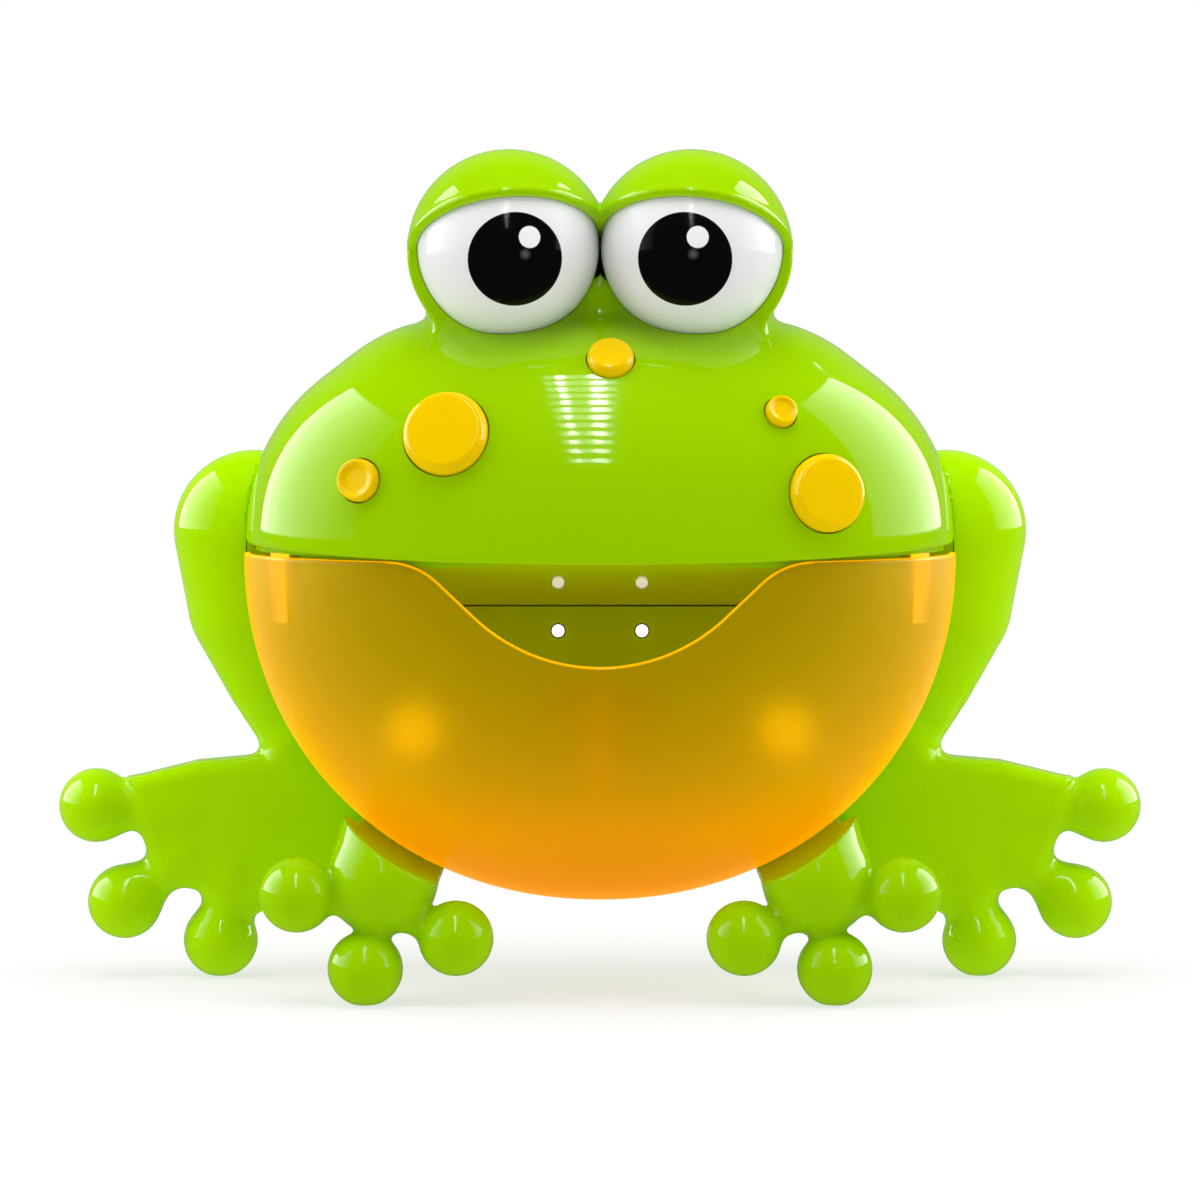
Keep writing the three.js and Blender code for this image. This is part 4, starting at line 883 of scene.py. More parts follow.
def buildEyeball(side, node, material):
    e = eyeSize
    outer, inner, back = e["ball"], e["ball"] - e["ballWall"], e["ball"] / 2
    outerTurn, innerTurn = math.acos(-back / outer), math.acos(-back / inner)
    outerTurns = np.linspace(0, outerTurn, eyeLook["outerSteps"])
    innerTurns = np.linspace(innerTurn, 0, eyeLook["innerSteps"])
    line = [(outer * math.sin(a), -outer * math.cos(a), 0) for a in outerTurns]
    line += [(inner * math.sin(a), -inner * math.cos(a), 0) for a in innerTurns]
    line[0], line[-1] = (0, -outer, 0), (0, -inner, 0)
    eye = turnedMesh(node + "_ball", line, eyeLook["sides"], shift(*ballCentre(side)))
    shade(eye)
    return standFor(eye, node, material)


printedEye = eyeMaterial()
buildEyeball(1, "right_eyeball", printedEye)
buildEyeball(-1, "left_eyeball", printedEye)
print("eyes")

# solution tray: a clear wall with a smile-shaped dip, rounded rim, back wall and two ribs

trayLook = dict(
    halfWidth=97.3, depth=55.0, height=95.0, power=2.08, centre=119.0, rim=119.6, wall=1.8, back=-0.3,
    backTop=52.0, backInset=0.3, dipDepth=27.3, arcRadius=48.0, arcAngle=43.0, run=13.25, shoulder=20.0,
    rimRound=0.7, ribX=86.0, ribWidth=4.8, ribLow=102.0, ribTop=120.5, ribDepth=6.0, ribInset=0.4,
    columns=260, rows=72, arcSteps=40, shoulderSteps=24, endSteps=40, rimSteps=7, ribSteps=7,
    widest=0.9999, markGap=0.12, ribMark=1.5,
)


def dipCurve():
    t = trayLook
    angle = math.radians(t["arcAngle"])
    arcZ = t["rim"] - t["dipDepth"] + t["arcRadius"]
    slopeX = t["arcRadius"] * math.sin(angle) + t["run"] * math.cos(angle)
    slopeZ = arcZ - t["arcRadius"] * math.cos(angle) + t["run"] * math.sin(angle)
    shoulderX = slopeX + t["shoulder"] * math.sin(angle)
    shoulderZ = slopeZ - t["shoulder"] * math.cos(angle)
    half = [(t["arcRadius"] * math.sin(a), arcZ - t["arcRadius"] * math.cos(a))
            for a in np.linspace(0, angle, t["arcSteps"])]
    half += [(shoulderX - t["shoulder"] * math.sin(a), shoulderZ + t["shoulder"] * math.cos(a))
             for a in np.linspace(angle, 0, t["shoulderSteps"])]
    endTurns = np.linspace(math.asin(shoulderX / t["halfWidth"]), math.pi / 2, t["endSteps"])
    half += [(x, t["rim"]) for x in t["halfWidth"] * np.sin(endTurns[1:])]
    line = np.array([(-x, z) for x, z in half[:0:-1]] + half)
    gaps = np.r_[0, np.cumsum(np.linalg.norm(np.diff(line, axis=0), axis=1))]
    even = np.linspace(0, gaps[-1], t["columns"] + 1)
    line = np.stack([np.interp(even, gaps, line[:, k]) for k in (0, 1)], 1)
    along = np.gradient(line, axis=0)
    along /= np.linalg.norm(along, axis=1)[:, None]
    up = np.stack([-along[:, 1], along[:, 0]], 1)
    return line - up * t["rimRound"], up


def trayWallGrid(line, inset):
    t = trayLook
    axes = np.array([t["halfWidth"], t["depth"], t["height"]]) - inset
    x = np.clip(line[:, 0], -axes[0] * t["widest"], axes[0] * t["widest"])
    z = line[:, 1] - t["centre"]
    left = 1 - np.abs(x / axes[0]) ** t["power"] - np.abs(z / axes[2]) ** t["power"]
    y = -np.maximum(left, 1e-6) ** (1 / t["power"])
    top = np.stack([x / axes[0], y, z / axes[2]], 1)
    angle = np.linspace(math.pi, 2 * math.pi, len(line))
    low = np.stack([np.cos(angle), np.full(len(line), -1e-3), np.sin(angle)], 1)
    top /= np.linalg.norm(top, axis=1)[:, None]
    low /= np.linalg.norm(low, axis=1)[:, None]
    turn = np.arccos(np.clip((top * low).sum(1), -1, 1))[:, None]
    rows = []
    for share in np.linspace(0, 1, t["rows"] + 1):
        way = np.where(turn < 1e-4, top, (np.sin((1 - share) * turn) * top + np.sin(share * turn) * low)
                       / np.maximum(np.sin(turn), 1e-9))
        way = way / (np.abs(way) ** t["power"]).sum(1)[:, None] ** (1 / t["power"])
        rows.append(way * axes + np.array([0, 0, t["centre"]]))
    rows[-1][:, 1] = t["back"]
    return np.minimum(np.array(rows), [1e9, t["back"], 1e9])


def buildTray():
    t = trayLook
    line, up = dipCurve()
    outer, inner = trayWallGrid(line, 0), trayWallGrid(line, t["wall"])
    across = []
    for share in np.linspace(0, 1, t["rimSteps"])[1:-1]:
        ease = 0.5 - 0.5 * math.cos(math.pi * share)
        lift = t["rimRound"] * math.sin(math.pi * share)
        row = outer[0] + (inner[0] - outer[0]) * ease
        row[:, 0] += up[:, 0] * lift
        row[:, 2] += up[:, 1] * lift
        across.append(row)
    rows = list(outer[::-1]) + across + list(inner)
    count = len(line)
    points = np.concatenate(rows)
    faces = []
    for j in range(len(rows)):
        a, b = j * count, ((j + 1) % len(rows)) * count
        faces += [(a + i, b + i, b + i + 1, a + i + 1) for i in range(count - 1)]
    for end in (0, count - 1):
        ring = [j * count + end for j in range(len(rows))]
        faces.append(ring if end else ring[::-1])
    tray = faceOutward(meshObject("solutionTray", points, faces))
    joinOn(tray, trayBackPlate())
    for side in (1, -1):
        joinOn(tray, trayRib(side))
    markEdges(tray)
    return shade(tray)


def trayOutline(inset, count=120):
    t = trayLook
    angles = np.linspace(math.pi, 2 * math.pi, count)
    grow = 2 / t["power"]
    across = np.sign(np.cos(angles)) * np.abs(np.cos(angles)) ** grow
    down = -np.abs(np.sin(angles)) ** grow
    return np.stack([across * (t["halfWidth"] - inset), t["centre"] + down * (t["height"] - inset)], 1)


def trayBackPlate():
    t = trayLook
    outline = trayOutline(t["backInset"])
    keep = outline[outline[:, 1] < t["backTop"]]
    return plateMesh("tool", keep.tolist(), t["back"] - t["wall"], t["back"])


def trayRib(side):
    t = trayLook
    half, inset = t["ribWidth"] / 2, t["ribInset"]
    xs = np.linspace(t["ribX"] - half, t["ribX"] + half, t["ribSteps"])
    wall = -(t["depth"] - inset) * (1 - (xs / (t["halfWidth"] - inset)) ** t["power"]) ** (1 / t["power"])
    outline = [(side * x, y) for x, y in zip(xs, wall)]
    back = wall[len(wall) // 2] + t["ribDepth"]
    outline += [(side * xs[-1], back), (side * xs[0], back)]
    low = [(x, y, t["ribLow"]) for x, y in outline]
    high = [(x, y, t["ribTop"]) for x, y in outline]
    count = len(outline)
    faces = [tuple(range(count))[::-1], tuple(range(count, 2 * count))]
    faces += [(i, (i + 1) % count, (i + 1) % count + count, i + count) for i in range(count)]
    return faceOutward(meshObject("tool", low + high, faces))


# cut edges of the clear wall and the rib tops: marked for the glow the material paints on them; the inner
# wall: marked for its painted glow onto what the tray holds
def markEdges(tray):
    t = trayLook
    mesh = tray.data
    points = meshPoints(mesh)
    size = np.array([t["halfWidth"], t["depth"], t["height"]])
    outer = superDist(points, (0, 0, t["centre"]), size, t["power"])
    inner = superDist(points, (0, 0, t["centre"]), size - t["wall"], t["power"])
    edge = (outer < -t["markGap"]) & (inner > t["markGap"])
    rib = (inner < -t["markGap"]) & (points[:, 2] > t["ribLow"] - 1)
    marks = dict(paintedEdgeGlow=np.where(edge, 1.0, np.where(rib, t["ribMark"], 0.0)),
                 innerWall=np.where(inner < t["markGap"], 1.0, 0.0))
    for name, values in marks.items():
        mesh.attributes.new(name, "FLOAT", "POINT").data.foreach_set("value", values)


def plateMesh(name, outline, y0, y1):
    count = len(outline)
    points = [(x, y0, z) for x, z in outline] + [(x, y1, z) for x, z in outline]
    faces = [tuple(range(count)), tuple(range(2 * count - 1, count - 1, -1))]
    faces += [(i, i + count, (i + 1) % count + count, (i + 1) % count) for i in range(count)]
    return faceOutward(meshObject(name, points, faces))


tray = standFor(buildTray(), "solution_tray")
print("tray", len(tray.data.polygons))

# legs: smooth blends of limb, webbed foot and ball toes, cleared from the body

frontLegLook = dict(
    toes=[(81.2, 29.5), (62.9, 9.6), (38.6, 17.8)], toeY=-33.0, toe=10.1, neck=4.4,
    neckFrom=(59.0, -31.0, 27.0), foot=(58.7, -27.0, 32.8), footRadius=14.6, drumTop=(52.0, -20.0, 56.0),
    top=(55.0, 6.0, 38.0), topRadius=13.5, limbBlend=2.0, toeBlend=2.0, saddleGap=0.45, shellGap=0.35,
    shellFrom=-0.2, rimRound=0.7, soleRound=0.4, step=0.8,
)
hindLegLook = dict(
    toes=[(140.5, 47.7), (132.7, 20.7), (106.0, 9.9)], toe=10.3, y=18.0,
    neckFrom=[(116, 46), (116, 34), (103, 30)], neck=6.2,
    thigh=[(96.0, 124.5, 22.3), (94.6, 104.0, 19.9), (91.2, 84.0, 13.1), (86.2, 64.0, 6.4)], thighDepth=0.76,
    web=[(84, 74), (93, 62), (112, 60.3), (131, 55.6), (129, 44), (126, 35), (122, 27), (112, 24), (104, 17),
         (97, 17), (88, 21), (79, 26), (69.3, 30), (67.8, 42), (61.5, 47), (61.5, 56)],
    webHalf=7.0, webRound=4.0, toeBlend=3.6, thighBlend=6.0, squeezeShare=0.88, shellGap=0.3, shellRound=0.8,
    soleRound=0.4, step=0.9,
)
farAway = 9  # a distance that limits nothing


def polygonDist(points, corners):
    corners = np.array(corners, float)
    near = np.full(len(points), 1e9)
    odd = np.zeros(len(points), bool)
    for a, b in zip(corners, np.roll(corners, -1, axis=0)):
        edge, away = b - a, points - a
        share = np.clip(away @ edge / (edge @ edge), 0, 1)
        near = np.minimum(near, ((away - share[:, None] * edge) ** 2).sum(1))
        crosses = (a[1] > points[:, 1]) != (b[1] > points[:, 1])
        slant = a[0] + (points[:, 1] - a[1]) * edge[0] / (edge[1] if abs(edge[1]) > 1e-9 else 1e-9)
        odd ^= crosses & (points[:, 0] < slant)
    return np.where(odd, -1, 1) * np.sqrt(near)


def bellyDist(points):
    t = trayLook
    return superDist(points[:, [0, 2]], (0, t["centre"]), (t["halfWidth"], t["height"]), t["power"])


# a ball toe on its neck, blended onto a limb
def addToe(limb, points, look, start, toe):
    digit = np.linalg.norm(points - np.array(toe), axis=1) - look["toe"]
    neck = roundCone(points, start, toe, look["neck"], look["neck"])
    return softMin(limb, softMin(digit, neck, look["toeBlend"]), look["toeBlend"])


def frontLegField(points):
    g = frontLegLook
    drum = roundCone(points, g["foot"], g["drumTop"], g["footRadius"], g["footRadius"])
    limb = roundCone(points, g["foot"], g["top"], g["footRadius"], g["topRadius"])
    leg = softMin(drum, limb, g["limbBlend"])
    for x, z in g["toes"]:
        leg = addToe(leg, points, g, g["neckFrom"], (x, g["toeY"], z))
    trayRoom = np.where(points[:, 1] < 0, bellyDist(points) - g["saddleGap"], farAway)
    shellRoom = np.where(points[:, 1] > g["shellFrom"], bodyOutline(points) - g["shellGap"], farAway)
    leg = softMax(leg, -np.minimum(trayRoom, shellRoom), g["rimRound"])
    return softMax(leg, -points[:, 2], g["soleRound"])


# where two fields meet at a right angle, measured round the outer corner
def roundedCross(a, b):
    return np.minimum(np.maximum(a, b), 0) + np.hypot(np.maximum(a, 0), np.maximum(b, 0))


def hindLegField(points):
    g = hindLegLook
    squeezed = points.copy()
    squeezed[:, 1] = (points[:, 1] - g["y"]) / g["thighDepth"]
    balls = [((x, 0, z), r) for x, z, r in g["thigh"]]
    limbs = [roundCone(squeezed, a, b, ra, rb) for (a, ra), (b, rb) in zip(balls, balls[1:])]
    thigh = np.minimum.reduce(limbs) * g["squeezeShare"]
    flat = polygonDist(points[:, [0, 2]], g["web"]) + g["webRound"]
    thick = np.abs(points[:, 1] - g["y"]) - g["webHalf"] + g["webRound"]
    foot = roundedCross(flat, thick) - g["webRound"]
    for (x, z), (fromX, fromZ) in zip(g["toes"], g["neckFrom"]):
        foot = addToe(foot, points, g, (fromX, g["y"], fromZ), (x, g["y"], z))
    leg = softMin(thigh, foot, g["thighBlend"])
    leg = softMax(leg, -(bodyOutline(points) - g["shellGap"]), g["shellRound"])
    return softMax(leg, -points[:, 2], g["soleRound"])


pegLook = dict(radius=4.0, gap=0.3, reach=8.0, hindZ=115.0, frontX=54.0, frontY=10.0, frontLift=1.0)


def bellyHeight(x):
    b = bodySize
    power = b["bellyPower"]
    return b["mouthEdge"] - b["bellyHeight"] * (1 - (x / b["halfWidth"]) ** power) ** (1 / power)


# the peg of a right-hand leg, or its hole in the back shell
def legPeg(node, radius, side=1):
    g = pegLook
    if "hind" in node:
        start = bodySize["halfWidth"] - bodySize["wall"] - g["reach"]
        y = hindLegLook["y"]
        return rod(radius, (side * start, y, g["hindZ"]), (side * (start + 2 * g["reach"]), y, g["hindZ"]))
    z = bellyHeight(g["frontX"])
    x = side * g["frontX"]
    return rod(radius, (x, g["frontY"], z - g["reach"] + g["frontLift"]), (x, g["frontY"], z + g["reach"]))


def buildLeg(name, field, node, step):
    low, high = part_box(node)
    low, high = np.array(low) / mm - netLook["room"], np.array(high) / mm + netLook["room"]
    leg = meshObject(name, *netSurface(field, low, high, step))
    joinOn(leg, legPeg(node, pegLook["radius"]))
    return shade(leg, field)


def placeLegs(field, piece, node, step, material=None):
    right = buildLeg("right" + piece, field, "right_" + node, step)
    left = mirrorCopy(right, "left" + piece)
    shade(left, lambda p: field(p * np.array([-1, 1, 1])))
    standFor(right, "right_" + node, material)
    standFor(left, "left_" + node, material)


placeLegs(frontLegField, "FrontLeg", "front_leg", frontLegLook["step"])
# the hind legs take the paler copy of the green: painted floor light
placeLegs(hindLegField, "HindLeg", "hind_leg", hindLegLook["step"], floorLitGreen)
print("legs")

# back shell: the body's outline carried straight back, with posts, screw wells and openings

backLook = dict(step=1.3, innerStep=2.6, seam=0.05, post=4.6, panelPost=4.4, well=3.2, wellFloor=6.0,
                postFrom=0.3, panelPostFrom=4.7, postSink=0.3, screwHole=1.6, screwFrom=-1.0, panelDeep=16.0,
                cupHole=3.3, doorGap=0.3, grilleSlots=5, grillePitch=4.4, grilleWidth=1.8, grilleRadius=10.0,
                rimFrom=78.5, rimSink=0.8, rimDepth=1.8, rimLow=104.7, rimHigh=120.3,
                cutPast=20.0, hollowFront=-12.0, past=9.0, within=1.0, slotSteps=9)


# a flat field given depth: to the back face, with a round edge
def carriedBack(flat, y, back, edge):
    return roundedCross(flat + edge, y - back + edge) - edge


def eyeCircle(points, side):
    e = eyeSize
    return np.hypot(points[:, 0] - side * e["x"], points[:, 2] - e["z"]) - e["bulge"]


def backField(points):
    b, e = bodySize, eyeSize
    eyes = softMin(eyeCircle(points, 1), eyeCircle(points, -1), e["eyesBlend"])
    bridge = np.hypot(points[:, 0], points[:, 2] - e["z"] + e["bridgeDrop"]) - e["bridge"]
    flat = softMin(bodyOutline(points), softMin(eyes, bridge, e["bridgeBlend"]), e["bulgeFillet"])
    return carriedBack(flat, points[:, 1], b["backDepth"], b["backRound"])


def backHollow(points):
    b = bodySize
    eyes = np.minimum(eyeCircle(points, 1), eyeCircle(points, -1))
    flat = np.minimum(bodyOutline(points), eyes) + b["wall"]
    return carriedBack(flat, points[:, 1], b["backDepth"] - b["wall"], b["backRound"] - b["wall"])


# an upright outline with round ends
def roundEnded(x, lowZ, lowRadius, highZ, highRadius, steps):
    arc = np.linspace(0, math.pi, steps)
    outline = [(x + highRadius * math.cos(a), highZ + highRadius * math.sin(a)) for a in arc]
    return outline + [(x - lowRadius * math.cos(a), lowZ - lowRadius * math.sin(a)) for a in arc]


def grilleTools(inner, outer):
    g = backLook
    x, _, z = middle("speaker")
    half = g["grilleWidth"] / 2
    tools = []
    for i in range(g["grilleSlots"]):
        offset = (i - (g["grilleSlots"] - 1) / 2) * g["grillePitch"]
        reach = math.sqrt(g["grilleRadius"] ** 2 - offset ** 2) - half
        slot = roundEnded(x + offset, z - reach, half, z + reach, half, g["slotSteps"])
        tools.append(plateMesh("tool", slot, inner, outer))
    return tools


def buildBackShell():
    b, e, g, room = bodySize, eyeSize, backLook, netLook["room"]
    back = b["backDepth"]
    side, low = b["halfWidth"] + room, b["mouthEdge"] - b["bellyHeight"] - room
    top = e["z"] + e["bulge"] + netLook["topRoom"]
    shell = meshObject("backShell", *netSurface(
        backField, (-side, -room, low), (side, back + room, top), g["step"]))
    cutAway(shell, boxMesh("tool", (-2 * side, -g["cutPast"], 0), (2 * side, g["seam"], 2 * top)))
    cutAway(shell, meshObject("tool", *netSurface(
        backHollow, (-side, g["hollowFront"], low), (side, back, top), g["innerStep"])))
    inner, outer = back - b["wall"], back + g["past"]
    cases, panels, sink = nodesNamed("case_screw"), nodesNamed("panel_screw"), inner + g["postSink"]
    posts = [rodBehind(g["post"], g["postFrom"], sink, node) for node in cases]
    posts += [rodBehind(g["panelPost"], g["panelPostFrom"], sink, node) for node in panels]
    rimTo = b["halfWidth"] - g["rimSink"] * b["wall"]
    posts += [boxMesh("tool", (x0, g["seam"], g["rimLow"]), (x1, g["rimDepth"], g["rimHigh"]))
              for x0, x1 in ((g["rimFrom"], rimTo), (-rimTo, -g["rimFrom"]))]
    for post in posts:
        joinOn(shell, post)
    through, gap = inner - g["within"], g["doorGap"]
    tools = [rodBehind(g["well"], g["wellFloor"], outer, node) for node in cases]
    tools += [rodBehind(g["screwHole"], g["screwFrom"], outer, node) for node in cases]
    tools += [rodBehind(g["screwHole"], 0, g["panelDeep"], node) for node in panels]
    tools += [rodBehind(g["cupHole"], through, outer, node) for node in nodesNamed("suction_cup")]
    boxLow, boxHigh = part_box("battery_box")
    tools.append(boxMesh("tool", (boxLow[0] / mm - gap, through, boxLow[2] / mm - gap),
                         (boxHigh[0] / mm + gap, outer, boxHigh[2] / mm + gap)))
    tools += grilleTools(through, outer)
    tools += [legPeg(leg, pegLook["radius"] + pegLook["gap"], hand)
              for leg in ("hind", "front") for hand in (1, -1)]
    for tool in tools:
        cutAway(shell, tool)
    return standFor(shade(shell, backField), "back_shell")


backShell = buildBackShell()
print("back shell", len(backShell.data.polygons))

# suction cups: clear vinyl with a knob behind the wall and a thin rim

cupLook = dict(
    profile=[(0, -5.8, 0), (3.0, -5.8, 0.8), (4.4, -2.8, 0.5), (3.0, -2.5, 0.2), (3.0, 0, 0.2), (6.6, 0, 0.8),
             (7.2, 3.6, 1.5), (14.4, 6.0, 2.5), (20.0, 10.7, 0.5), (20.0, 11.7, 0.3), (18.0, 11.7, 0.4),
             (13.6, 8.2, 1.5), (4.8, 6.2, 1.5), (0, 6.2, 0)],
    baseY=43.3, sides=64, steps=6,
)
for node in nodesNamed("suction_cup"):
    c = cupLook
    cupX, _, cupZ = middle(node)
    cup = turnedMesh(node + "_vinyl", c["profile"], c["sides"], shift(cupX, c["baseY"], cupZ), c["steps"])
    standFor(shade(cup), node)
print("cups")

# battery door with finger grooves, cells and screws

doorLook = dict(corner=0.6, grooves=6, groovePitch=2.4, grooveWidth=1.1, grooveHalf=11.0, grooveDepth=0.6,
                grooveLow=106.0, screwGap=0.3, screwFloor=1.2, past=2.0)


def buildDoor():
    d = doorLook
    low, high = [np.array(corner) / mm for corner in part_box("battery_door")]
    door = boxMesh("batteryDoor", low, high, d["corner"])
    half, past = d["grooveWidth"] / 2, high[1] + d["past"]
    for i in range(d["grooves"]):
        z = d["grooveLow"] + i * d["groovePitch"]
        cutAway(door, boxMesh("tool", (-d["grooveHalf"], high[1] - d["grooveDepth"], z - half),
                              (d["grooveHalf"], past, z + half)))
    screwLow, screwHigh = [np.array(corner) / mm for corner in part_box("door_screw")]
    x, _, z = middle("door_screw")
    radius = (screwHigh[0] - screwLow[0]) / 2 + d["screwGap"]
    cutAway(door, rod(radius, (x, high[1] - d["screwFloor"], z), (x, past, z)))
    return standFor(shade(door), "battery_door")


screwLook = dict(shank=1.3, root=1.0, pitch=0.65, tip=1.5, point=(0.3, 0.1, 0), plain=0.4, head=2.9,
                 headHeight=1.5, headRound=0.15, sideShare=0.4, sideRound=0.2, crown=0.55, crownDrop=0.08,
                 crownRound=0.5, slotWidth=0.9, slotHalf=1.7, slotDepth=0.9, slotShare=0.6, sides=32)


# a cross-head screw along Y; the head is at the end nearer the tool
def buildScrew(node, headBehind):
    k = screwLook
    low, high = [np.array(corner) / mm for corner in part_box(node)]
    length = high[1] - low[1]
    neck = length - k["headHeight"]
    line = [(0, 0, 0)]
    if neck > k["tip"]:
        line.append(k["point"])
        for i, at in enumerate(np.arange(k["tip"], neck - k["plain"], k["pitch"])):
            line.append((k["shank"] if i % 2 else k["root"], at, 0))
        line.append((k["shank"], neck, 0))
    under = max(neck, 0)
    rise = length - under
    line += [(k["head"], under, k["headRound"]), (k["head"], under + k["sideShare"] * rise, k["sideRound"]),
             (k["crown"] * k["head"], length - k["crownDrop"], k["crownRound"]), (0, length, 0)]
    screw = turnedMesh(node + "_metal", line, k["sides"])
    depth = min(k["slotDepth"], k["slotShare"] * rise)
    for wide, tall in ((k["slotHalf"], k["slotWidth"] / 2), (k["slotWidth"] / 2, k["slotHalf"])):
        cutAway(screw, boxMesh("tool", (-wide, length - depth, -tall), (wide, length + 1, tall)))
    x, _, z = middle(node)
    flip = Matrix.Identity(4) if headBehind else Matrix.Rotation(math.pi, 4, "X")
    screw.data.transform(shift(x, low[1] if headBehind else high[1], z) @ flip)
    return standFor(shade(screw), node)


buildDoor()
for node in nodesNamed("case_screw") + ["door_screw"]:
    buildScrew(node, True)
for node in nodesNamed("panel_screw"):
    buildScrew(node, False)

cellShape = dict(
    profile=[(0, -24.5, 0), (4.9, -24.5, 0.2), (5.3, -24.75, 0.2), (7.1, -24.5, 0.7), (7.1, 24.4, 0.7),
             (6.2, 24.75, 0.2), (5.9, 24.3, 0.2), (2.7, 24.3, 0.2), (2.7, 25.75, 0.4), (0, 25.75, 0)],
    sides=48,
)
for node in nodesNamed("battery_"):
    if node[-1].isdigit():
        low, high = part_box(node)
        plusRight = high[0] > -low[0]
        turn = Matrix.Rotation(math.radians(-90 if plusRight else 90), 4, "Z")
        place = shift(0, *middle(node)[1:]) @ turn
        cell = turnedMesh(node + "_cell", cellShape["profile"], cellShape["sides"], place)
        standFor(shade(cell), node)
print("door, screws and cells")

# lamps and wiper

lampShapes = dict(
    mouth_lamp=[(0, 0.86, 0), (1.0, 1.0, 0.4), (1.8, 1.9, 0.5), (1.8, 4.7, 0), (2.8, 4.7, 0.2),
                (2.8, 5.6, 0.2), (0, 5.6, 0)],
    tray_lamp=[(0, 0.3, 0), (6.0, 0.3, 0.8), (7.0, 1.0, 0.5), (7.0, 1.7, 0.1), (1.9, 1.7, 0),
               (1.9, 5.6, 0.2), (0, 5.6, 0)],
)
lampSides, lampSteps = 48, 5
for kind, profile in lampShapes.items():
    for node in nodesNamed(kind):
        lampX, _, lampZ = middle(node)
        lamp = turnedMesh(node + "_lens", profile, lampSides, shift(lampX, 0, lampZ), lampSteps)
        standFor(shade(lamp), node, trayLamp if kind == "tray_lamp" else None)

wiperLook = dict(tip=3.0, edge=0.45, arcSteps=17)


def buildWiper():
    low, high = [np.array(corner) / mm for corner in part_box("wiper_blade")]
    hub, tip = (high[0] - low[0]) / 2, wiperLook["tip"]
    outline = roundEnded(0, low[2] + hub, hub, high[2] - tip, tip, wiperLook["arcSteps"])
    blade = softenEdges(plateMesh("wiperBlade", outline, low[1], high[1]), wiperLook["edge"])
    return standFor(shade(blade), "wiper_blade")


buildWiper()
print("lamps and wiper")

# camera, as the photograph was taken: from the front, a little above

cameraLook = dict(distance=1200.0, rise=4.0, target=(0, 0, 106.3), lens=131.4, sensor=36.0)


def placeCamera():
    c = cameraLook
    rise = math.radians(c["rise"])
    data = bpy.data.cameras.new("camera")
    data.lens, data.sensor_width = c["lens"], c["sensor"]
    camera = bpy.data.objects.new("camera", data)
    back = Vector((0, -math.cos(rise), math.sin(rise)))
    camera.location = (Vector(c["target"]) + back * c["distance"]) * mm
    camera.rotation_euler = (-back).to_track_quat("-Z", "Y").to_euler()
    scene.collection.objects.link(camera)
    scene.camera = camera


placeCamera()

# stage: pale floor that fades into a white room, and softboxes;
# a span is where a glow changes from front to back, and a glow is its strength at both ends

stageLook = dict(
    floorHalf=3.0, floorColour=(0.82, 0.82, 0.82, 1), floorRoughness=0.9, floorGloss=0.1, shadowShare=0.34,
    fadeNear=0.2, fadeFar=0.55, bounce=0.6, bounceNear=0.25, bounceFar=0.6, floorSpan=(-0.25, 0.35),
    roomSpan=(-0.7, 0.2), roomGlow=(0.15, 0.65), mirrorSpan=(0.2, 0.95), mirrorGlow=(0.01, 0.5),
    mirrorColour=(0.82, 1.0, 0.55, 1), aim=(0, 0, 0.1),
)
softboxes = dict(
    left=dict(place=(-1.1, -0.28, 0.7), size=(0.75, 1.1), power=7.0),
    right=dict(place=(1.1, -0.28, 0.7), size=(0.75, 1.1), power=6.8),
    front=dict(place=(0.0, -1.6, 0.3), size=(1.6, 0.6), power=1.6),
    top=dict(place=(0.0, -0.15, 1.4), size=(1.2, 0.9), power=13.0),
)
# what the gloss mirrors: two side walls of light and two rows of strip lamps overhead
sideWalls = dict(
    panels=[dict(x=-1.2, y=(-1.0, 0.72), z=(0.12, 1.6)), dict(x=1.2, y=(-0.62, 0.85), z=(0.13, 1.9))],
    span=(-1.0, 0.8), glow=(0.4, 9.2),
)
ceilingLamps = dict(rows=12, height=2.2, near=-0.64, far=-4.4, stripe=0.09, widen=0.5,
                    wide=[(-0.205, -0.05), (-0.045, 0.047)], bright=[(-0.152, -0.115), (-0.022, 0.012)],
                    wideGlow=5.0, brightGlow=70.0)


# a value that changes from front to back
def backwards(tree, place, span, glow):
    return rangeNode(tree, alongAxis(tree, place, "Y"), *span, *glow)


# the room as gloss sees it is a little green
def mirrorTint(tree, path):
    return mixNode(tree, "RGBA", path.outputs["Is Glossy Ray"], (1, 1, 1, 1), stageLook["mirrorColour"])


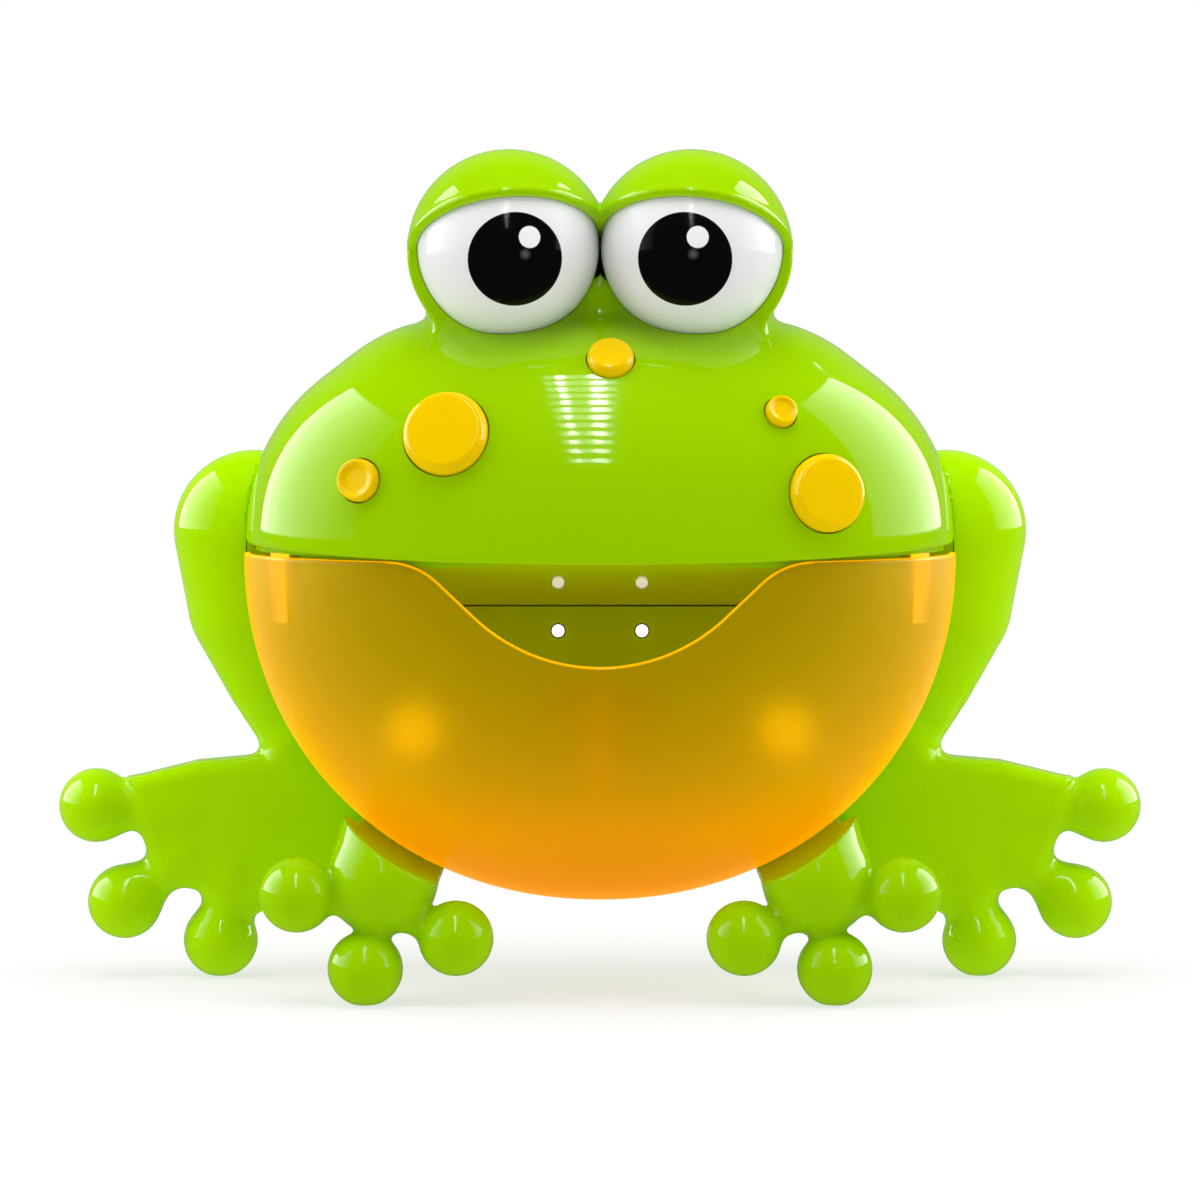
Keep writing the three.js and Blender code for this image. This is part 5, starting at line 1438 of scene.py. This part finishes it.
def buildFloor():
    s = stageLook
    half = s["floorHalf"] / mm
    corners = [(-half, -half, 0), (half, -half, 0), (half, half, 0), (-half, half, 0)]
    floor = meshObject("floor", corners, [(0, 1, 2, 3)])
    material, tree, shader = newMaterial("paleFloor")
    shader.inputs["Base Color"].default_value = s["floorColour"]
    shader.inputs["Roughness"].default_value = s["floorRoughness"]
    shader.inputs["Specular IOR Level"].default_value = s["floorGloss"]
    place = objectPlace(tree)
    apart = tree.nodes.new("ShaderNodeVectorMath")
    apart.operation = "LENGTH"
    tree.links.new(place, apart.inputs[0])
    away = apart.outputs["Value"]
    path = tree.nodes.new("ShaderNodeLightPath")
    glossy = path.outputs["Is Glossy Ray"]
    seen = mathNode(tree, "MAXIMUM", path.outputs["Is Camera Ray"], path.outputs["Is Transmission Ray"])
    fade = rangeNode(tree, away, s["fadeNear"], s["fadeFar"], 1 - s["shadowShare"])
    bounce = rangeNode(tree, away, s["bounceNear"], s["bounceFar"], s["bounce"], 0.0)
    share = mathNode(tree, "MAXIMUM", mathNode(tree, "MULTIPLY", fade, seen), glossy)
    lit = mathNode(tree, "MULTIPLY", bounce, path.outputs["Is Diffuse Ray"])
    share = mathNode(tree, "MAXIMUM", share, lit)
    room = tree.nodes.new("ShaderNodeEmission")
    mirrored = backwards(tree, place, s["floorSpan"], s["mirrorGlow"])
    tree.links.new(mixNode(tree, "FLOAT", glossy, 1.0, mirrored), room.inputs["Strength"])
    tree.links.new(mirrorTint(tree, path), room.inputs["Color"])
    mixShaders(tree, share, shader.outputs["BSDF"], room.outputs["Emission"])
    material.cycles.emission_sampling = "NONE"
    floor.data.materials.append(material)


def lightRoom():
    s = stageLook
    world = bpy.data.worlds.new("room")
    scene.world = world
    world.use_nodes = True
    tree = world.node_tree
    shader = tree.nodes["Background"]
    path = tree.nodes.new("ShaderNodeLightPath")
    tree.links.new(mirrorTint(tree, path), shader.inputs["Color"])
    seen = mathNode(tree, "MAXIMUM", path.outputs["Is Camera Ray"], path.outputs["Is Transmission Ray"])
    way = tree.nodes.new("ShaderNodeTexCoord").outputs["Generated"]
    glows = [backwards(tree, way, s[use + "Span"], s[use + "Glow"]) for use in ("room", "mirror")]
    strength = mixNode(tree, "FLOAT", path.outputs["Is Glossy Ray"], *glows)
    tree.links.new(mathNode(tree, "MAXIMUM", strength, seen), shader.inputs["Strength"])
    for name, lamp in softboxes.items():
        data = bpy.data.lights.new(name, "AREA")
        data.shape, data.energy = "RECTANGLE", lamp["power"]
        data.size, data.size_y = lamp["size"]
        light = bpy.data.objects.new(name + "Softbox", data)
        light.location = lamp["place"]
        aim = Vector(s["aim"]) - light.location
        light.rotation_euler = aim.to_track_quat("-Z", "Y").to_euler()
        light.visible_glossy = False
        scene.collection.objects.link(light)


# lit quads that only gloss can see
def mirroredOnly(name, quads):
    obj = meshObject(name, np.concatenate(quads) / mm, np.arange(4 * len(quads)).reshape(-1, 4))
    material, tree, shader = newMaterial(name)
    shader.inputs["Base Color"].default_value = (0, 0, 0, 1)
    shader.inputs["Emission Color"].default_value = (1, 1, 1, 1)
    obj.data.materials.append(material)
    obj.visible_camera = obj.visible_diffuse = obj.visible_transmission = obj.visible_shadow = False
    return tree, shader.inputs["Emission Strength"]


def hangStrips(name, columns, glow):
    c = ceilingLamps
    height = c["height"]
    quads = []
    for angle in np.linspace(math.atan2(height, -c["near"]), math.atan2(height, -c["far"]), c["rows"]):
        y = -height / math.tan(angle)
        half = c["stripe"] / 2 * (1 + abs(y) * c["widen"])
        near, far = y - half, y + half
        quads += [[(x0, near, height), (x0, far, height), (x1, far, height), (x1, near, height)]
                  for x0, x1 in columns]
    _, strength = mirroredOnly(name, quads)
    strength.default_value = glow


def standSideWalls():
    w = sideWalls
    quads = []
    for panel in w["panels"]:
        x, (y0, y1), (z0, z1) = panel["x"], panel["y"], panel["z"]
        quads.append([(x, y0, z0), (x, y1, z0), (x, y1, z1), (x, y0, z1)])
    tree, strength = mirroredOnly("sideWalls", quads)
    tree.links.new(backwards(tree, objectPlace(tree), w["span"], w["glow"]), strength)


hangStrips("ceilingStrips", ceilingLamps["wide"], ceilingLamps["wideGlow"])
hangStrips("ceilingTubes", ceilingLamps["bright"], ceilingLamps["brightGlow"])
standSideWalls()
buildFloor()
lightRoom()
scene.view_settings.view_transform = "Standard"
print("stage ready")
